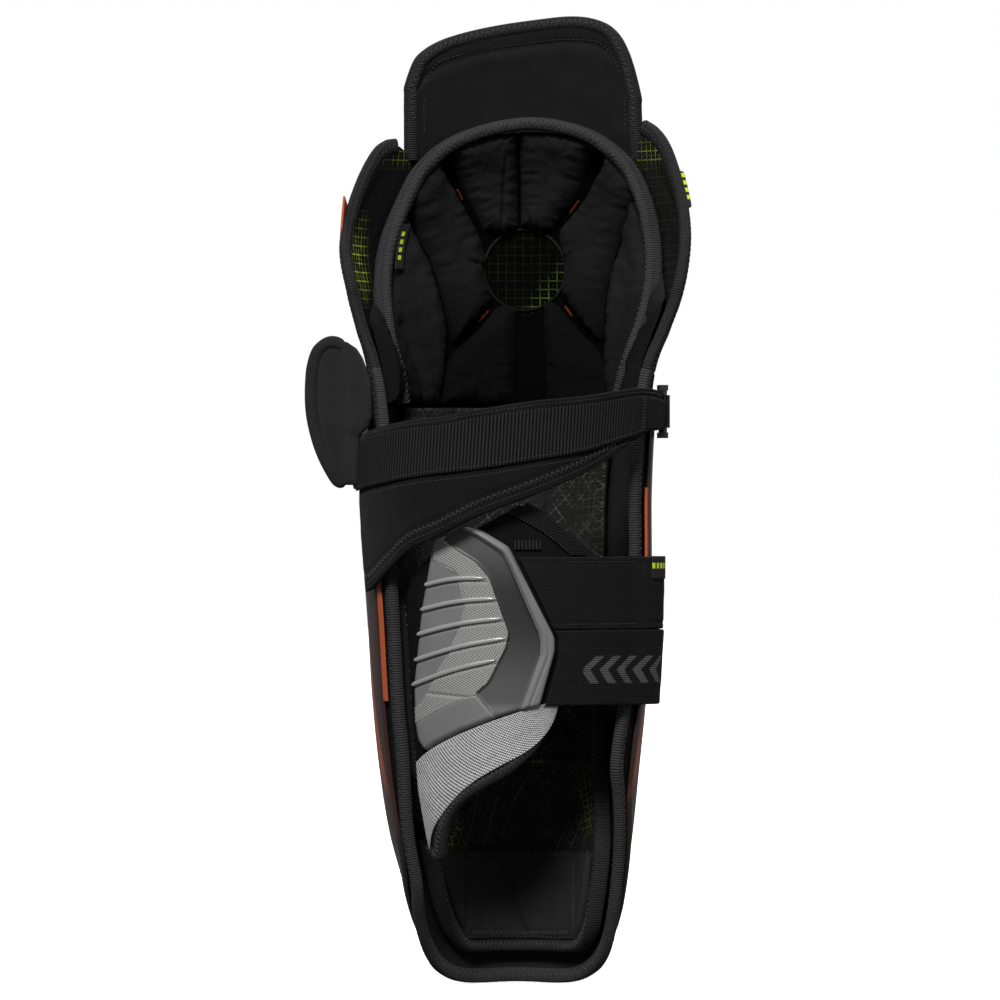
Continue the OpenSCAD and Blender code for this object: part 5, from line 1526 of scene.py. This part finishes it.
def plate():
    out = PO
    gx, gz = np.meshgrid(np.arange(-56, 24, .42), np.arange(121, 244, .42))
    ins = inside_poly(gx, gz, out)
    d, _ = dist_poly(gx, gz, out)
    r, c = gx.shape
    # pull the cells at the outline onto it
    cell = ins[:-1, :-1] | ins[1:, :-1] | ins[:-1, 1:] | ins[1:, 1:]
    use = np.zeros((r, c), bool)
    for a, b in ((0, 0), (1, 0), (0, 1), (1, 1)):
        use[a:r - 1 + a, b:c - 1 + b] |= cell
    bad = use & ~ins
    ptsb = np.column_stack([gx[bad], gz[bad]])
    near = out[np.argmin(((ptsb[:, None] - out[None]) ** 2).sum(-1), 1)]
    X, Z = gx.copy(), gz.copy()
    X[bad], Z[bad] = near[:, 0], near[:, 1]
    d = np.where(bad, 0, d)
    fr = inside_poly(X, Z, FR_IN + [(40, 140), (40, 250), (-10, 250)])
    dfr, _ = dist_poly(X, Z, FR_IN)
    bd = inside_poly(X, Z, BD_IN + [(-8, 120), (40, 120), (40, 250), (-36.5, 250)]) & ~fr
    dbd, _ = dist_poly(X, Z, BD_IN)
    low = inside_poly(X, Z, LENS + [(-60, 134), (-60, 110), (-8, 110)]) & ~bd & ~fr
    dlow, _ = dist_poly(X, Z, spline(LENS, 1))
    tex = inside_poly(X, Z, PLN + [(-60, 140), (-60, 120), (30, 120), (30, 250), (-41, 250)]) & ~low & ~bd & ~fr
    dpl, _ = dist_poly(X, Z, spline(PLN, 1))
    zone = np.where(fr, 3.0, np.where(low, 0.0, np.where(bd, 2.0, np.where(tex, 1.0, 0.0))))
    e = np.sqrt(np.clip(1 - (1 - np.clip(d / 2.2, 0, 1)) ** 2, 0, 1))
    h = 2.2 * e
    h = h + np.where(fr, 1.7 * ease(dfr / 1.4) * e, 0) - np.where(fr, .55 * np.exp(-((dfr - 3.6) / .45) ** 2), 0)
    for x0, z0, x1, z1 in RIBS:
        t = np.linspace(0, 1, 14)
        dr, ar = dist_poly(X, Z, np.column_stack([mix(x0, x1, t), mix(z0, z1, t) + 1.6 * np.sin(math.pi * t) - 1.9]))
        h = h - .55 * np.exp(-(dr / .7) ** 2)
    h = h - np.where(bd, 1.1 * ease(dbd / 1.2) * ease(dfr / .8), 0) * ease((Z - 142) / 8)
    h = h + np.where(tex, .45 * ease(dpl / .9), 0) + np.where(low, .7 * ease(dlow / 1.0) * ease(d / 3), 0)
    h = h - .5 * np.exp(-((Z - 152 - (X + 20) * -.1) / .8) ** 2) * np.where(low, 0, 1) * np.where(tex, 1, 0)
    th = backth(X, Z, fo + .2)
    A = P(Z, th, fo + .15 + h)
    B = P(Z, th, fo + .15 + 0 * h)
    ids = np.arange(r * c).reshape(r, c)
    q = np.stack([ids[:-1, :-1], ids[:-1, 1:], ids[1:, 1:], ids[1:, :-1]], -1)[cell]
    used = np.unique(q)
    mp = np.full(r * c, -1)
    mp[used] = np.arange(len(used))
    q = mp[q]
    n = len(used)
    V = np.concatenate([A.reshape(-1, 3)[used], B.reshape(-1, 3)[used]])
    UV = np.tile(np.column_stack([X.ravel(), Z.ravel()])[used], (2, 1))
    zz_ = np.tile(zone.ravel()[used], 2)
    # walls along open edges
    ed = np.concatenate([q[:, [0, 1]], q[:, [1, 2]], q[:, [2, 3]], q[:, [3, 0]]])
    key = np.sort(ed, 1)
    _, inv, cnt = np.unique(key[:, 0] * 10 ** 7 + key[:, 1], return_inverse=True, return_counts=True)
    op = ed[cnt[inv] == 1]
    walls = np.column_stack([op[:, 1], op[:, 0], op[:, 0] + n, op[:, 1] + n])
    quads = np.concatenate([q, q[:, ::-1] + n, walls])
    frz = fr.ravel()[used]
    return make("calf_plate_v", V, quads, uv=UV, mats=MT["plate"], body="calf_flap", rep=["calf_plate", "plate_frame"], zone=zz_)


RIBS = [[-46.5, 211, -15, 214.5], [-48.6, 198, -9, 204], [-50.4, 185, -6, 193.7], [-51.8, 171.5, -4, 183.5], [-53, 158.5, -9.5, 172]]
plate()

# ribs: raised bars with rounded ends over the plate
vv_, qq_, tr_, uv_, oo = [], [], [], [], 0
for x0, z0, x1, z1 in RIBS:
    t_ = np.linspace(0, 1, 60)
    x_, zq = mix(x0 + .8, x1 - .4, t_), mix(z0, z1, t_) + 1.6 * np.sin(math.pi * t_)
    pr = P(zq, backth(x_, zq, fo), fo + 2.55)
    sc_ = np.sqrt(np.clip(1 - np.clip(1 - np.minimum(t_ / .05, (1 - t_) / .22), 0, 1) ** 2, .03, 1))
    V, qd, ts, UV = sweep("", pr, NR(zq, backth(x_, zq, fo)), oval(1.25, 1.15, 18, .8), None, scale=np.column_stack([sc_, .4 + .6 * sc_]), build=False)
    vv_.append(V), qq_.append(qd + oo), tr_.append(ts + oo), uv_.append(UV)
    oo += len(V)
make("plate_ribs_v", np.concatenate(vv_), np.concatenate(qq_), np.concatenate(tr_), np.concatenate(uv_), MT["rib"], body="calf_flap", rep=["plate_ribs"])

# light grey knitted mesh below the plate
MTOP = [(-52.6, 118), (-46.4, 123.0), (-39.6, 127.6), (-28.3, 133.5), (-11.3, 140.4), (4, 145.6), (13, 148.6), (22, 150.0)]
MLOW = [(-45.6, 72), (-43.6, 80.3), (-39.2, 88.8), (-31.1, 99.6), (-21.2, 108.4), (-9.9, 115.4), (4.3, 123.2), (12.7, 129.8), (19.1, 138.6), (22.4, 148.6)]
mcoons = coons(MLOW, MTOP, [(-45.6, 72), (-48.6, 88), (-51.4, 104), (-52.6, 118)], [(22.4, 148.6), (22, 150.0)])


def mesh_pos(u, v, off):
    x, z = mcoons(u, v)
    th = backth(x, z, fo)
    return P(z, th, fo + off - fback(th))


slab("flap_mesh_v", mesh_pos, 110, 44, .9, .01, .02, mid=.6, po=lambda u, v: .25 * np.sin(np.pi * v) + .12 * fbm(u * 14, v * 6, 61), mats=MT["grey"],
     body="calf_flap", rep=["flap_mesh"], slot="grey_mesh")

# ------------------------------------------------------------------ lower straps
SO = [[74, 4.7], [102, 4.7], [114, 3.6], [126, .6], [138, -2.4], [150, -4.3], [158, -4.9], [170, -4.9]]
PR = [[123, -44], [128.4, -39], [132.6, -31], [140, -12.7], [145.4, 4], [148.8, 14], [160, 17], [173, 20.6], [183, 20.5], [205, 10.5], [226.7, 0],
      [233, -4], [237, -9], [239, -13]]
th_h = float(backth(23, 190, -4))


def bulge(th):
    return 5.0 * ease(1 - abs(th - 107) / 17)


def lstrap(z0, z1, lift):
    def f(u, v, off):
        z = mix(z0, z1, v)
        th = mix(75.2, backth(lin(PR, z) + 1.1, z, fo), u)
        return P(z, th, np.where(th < 158, herm(SO, th), -4.9) + lift + bulge(th) + off)
    return f


def strap_relief(u, v):
    th = mix(75.2, 160, u)
    return .16 * fbm(th * .2, v * 3, 71) - .35 * np.exp(-((np.minimum(v, 1 - v) - .085) / .022) ** 2)


slab("wide_strap_v", lstrap(187.8, 225.8, .3), 240, 40, 1.75, .006, .025, mid=1.0, po=strap_relief, mats=MT["strap"], body=None,
     rep=["wide_strap", "strap_base"], slot="strap_fabric")
slab("elastic_strap_v", lstrap(148.2, 187.5, .8), 220, 44, 1.75, .006, .025, mid=1.0, po=lambda u, v: .2 * fbm(u * 20, v * 3, 73), mats=MT["elastic"],
     body=None, rep=["elastic_strap"], slot="strap_elastic")
slab("wide_hook_patch_v", lambda u, v, off: P(mix(190, 223, v), mix(76, 98, u), bulge(mix(76, 98, u)) + off), 24, 30, .34, .03, .03, mid=4.68, mats=MT["hookp"],
     body="lower_wide_strap", rep=["wide_hook_patch"], slot="hook_plastic")
slab("elastic_hook_patch_v", lambda u, v, off: P(mix(152, 184, v), mix(76, 98, u), bulge(mix(76, 98, u)) + off), 24, 30, .75, .03, .03, mid=4.9, mats=MT["hookp"],
     body="lower_elastic_strap", rep=["elastic_hook_patch"], slot="hook_plastic")
slab("adjust_tag_v", lambda u, v, off: P(mix(214, 226, v), mix(104, 114, u), herm(SO, mix(104, 114, u)) + bulge(mix(104, 114, u)) + off), 20, 20, .7, .06, .06, mid=2.65, mats=MT["lime"],
     body="lower_wide_strap", rep=["adjust_tag"], slot="tag_lime")
# seams of the lower straps
for zz in (190.6, 223.0):
    t_ = np.linspace(120, th_h - 1.6, 120)
    ZIG.append(("lower_wide_strap", (P(zz + 0 * t_, t_, herm(SO, t_) + bulge(t_) + 2.15), NR(zz + 0 * t_, t_), 0, 0, "run", 2.0, 0, .2)))
zz = np.linspace(190, 223.6, 40)
for x0 in (13.2, 15.0):
    xx = np.maximum(x0, lin(PR, zz) + 3)
    ZIG.append(("calf_flap", (P(zz, backth(xx, zz, fo), fo + 2.1), NR(zz, backth(xx, zz, fo)), 0, 0, "run", 1.8, 0, .2)))

# ------------------------------------------------------------------ thread
for b in sorted(set(x[0] for x in ZIG)):
    stitches("thread_" + b, [x[1] for x in ZIG if x[0] == b], MT["thread"], b)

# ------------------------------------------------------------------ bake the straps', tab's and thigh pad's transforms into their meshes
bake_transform(ALL["wide_strap_v"])
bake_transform(ALL["elastic_strap_v"])
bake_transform(ALL["tab_pad_v"])
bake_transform(ALL["thigh_pad_v"])

# ------------------------------------------------------------------ camera, light, floor
cam = bpy.data.cameras.new("camera")
co = bpy.data.objects.new("camera", cam)
bpy.context.scene.collection.objects.link(co)
co.location = (-.0079, -5.0, .2554)
co.rotation_euler = (math.pi / 2, 0, 0)
cam.sensor_width = 36
cam.lens = 36 * 5.0 / (2 * .26385)
cam.clip_end = 100
bpy.context.scene.camera = co


def area(name, loc, target, size, power, color=(1, 1, 1)):
    L = bpy.data.lights.new(name, "AREA")
    L.shape, L.size, L.size_y = "RECTANGLE", size[0], size[1]
    L.energy, L.color = power, color
    o = bpy.data.objects.new(name, L)
    bpy.context.scene.collection.objects.link(o)
    o.location = loc
    d = np.array(target, float) - np.array(loc, float)
    from mathutils import Vector
    o.rotation_euler = Vector(d).to_track_quat("-Z", "Y").to_euler()
    return o


area("key", (-1.3, -1.7, 1.7), (0, 0, .26), (.9, .9), 19)
area("fill", (1.9, -1.2, .9), (0, 0, .26), (.7, 1.5), 8)
area("top", (0, .1, 2.2), (0, 0, .2), (1.4, 1.0), 14)
area("rim", (-.9, 2.2, 1.2), (0, 0, .26), (1.2, 1.2), 14)

world = bpy.data.worlds.new("studio")
bpy.context.scene.world = world
world.use_nodes = True
bg = world.node_tree.nodes["Background"]
bg.inputs[0].default_value = (1, 1, 1, 1)
bg.inputs[1].default_value = .20
wt = world.node_tree
bg2 = wt.nodes.new("ShaderNodeBackground")
bg2.inputs[0].default_value, bg2.inputs[1].default_value = (1, 1, 1, 1), 1.0
lp = wt.nodes.new("ShaderNodeLightPath")
ms = wt.nodes.new("ShaderNodeMixShader")
wt.links.new(lp.outputs["Is Camera Ray"], ms.inputs[0])
wt.links.new(bg.outputs[0], ms.inputs[1])
wt.links.new(bg2.outputs[0], ms.inputs[2])
wt.links.new(ms.outputs[0], wt.nodes["World Output"].inputs[0])
sl = bpy.data.lights.new("sun", "SUN")
sl.energy, sl.angle = 4.3, math.radians(16)
so_ = bpy.data.objects.new("sun", sl)
bpy.context.scene.collection.objects.link(so_)
so_.rotation_euler = (math.radians(49), math.radians(-10), 0)
sl2 = bpy.data.lights.new("sun_front", "SUN")
sl2.energy, sl2.angle = 1.4, math.radians(40)
so2 = bpy.data.objects.new("sun_front", sl2)
bpy.context.scene.collection.objects.link(so2)
so2.rotation_euler = (math.radians(-46), math.radians(20), 0)

fm = Mat("m_floor")
fvec, fx, fy, fz = fm.mm()
fn = fm.noise(.02, 3, .5, fvec)
fm.done(fm.mixc(fn, (.90, .90, .90), (.93, .93, .93)), fm.mt("MULTIPLY_ADD", fn, .1, .8), fm.bump(fm.noise(.5, 3, .5, fvec), .02), .05,
        Emission_Color=(1, 1, 1, 1), Emission_Strength=.4)
zf = float(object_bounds()[0][2]) - .0004
fme = bpy.data.meshes.new("floor")
S = 14.0
fme.from_pydata([(-S, -S, zf), (S, -S, zf), (S, S, zf), (-S, S, zf)], [], [(0, 1, 2, 3)])
fme.materials.append(fm.m)
floor = bpy.data.objects.new("floor", fme)
bpy.context.scene.collection.objects.link(floor)
# the floor catches the shadow, and throws no light of its own on the guard
floor.visible_diffuse = False
floor.visible_glossy = False
bpy.context.scene.view_settings.view_transform = "Standard"
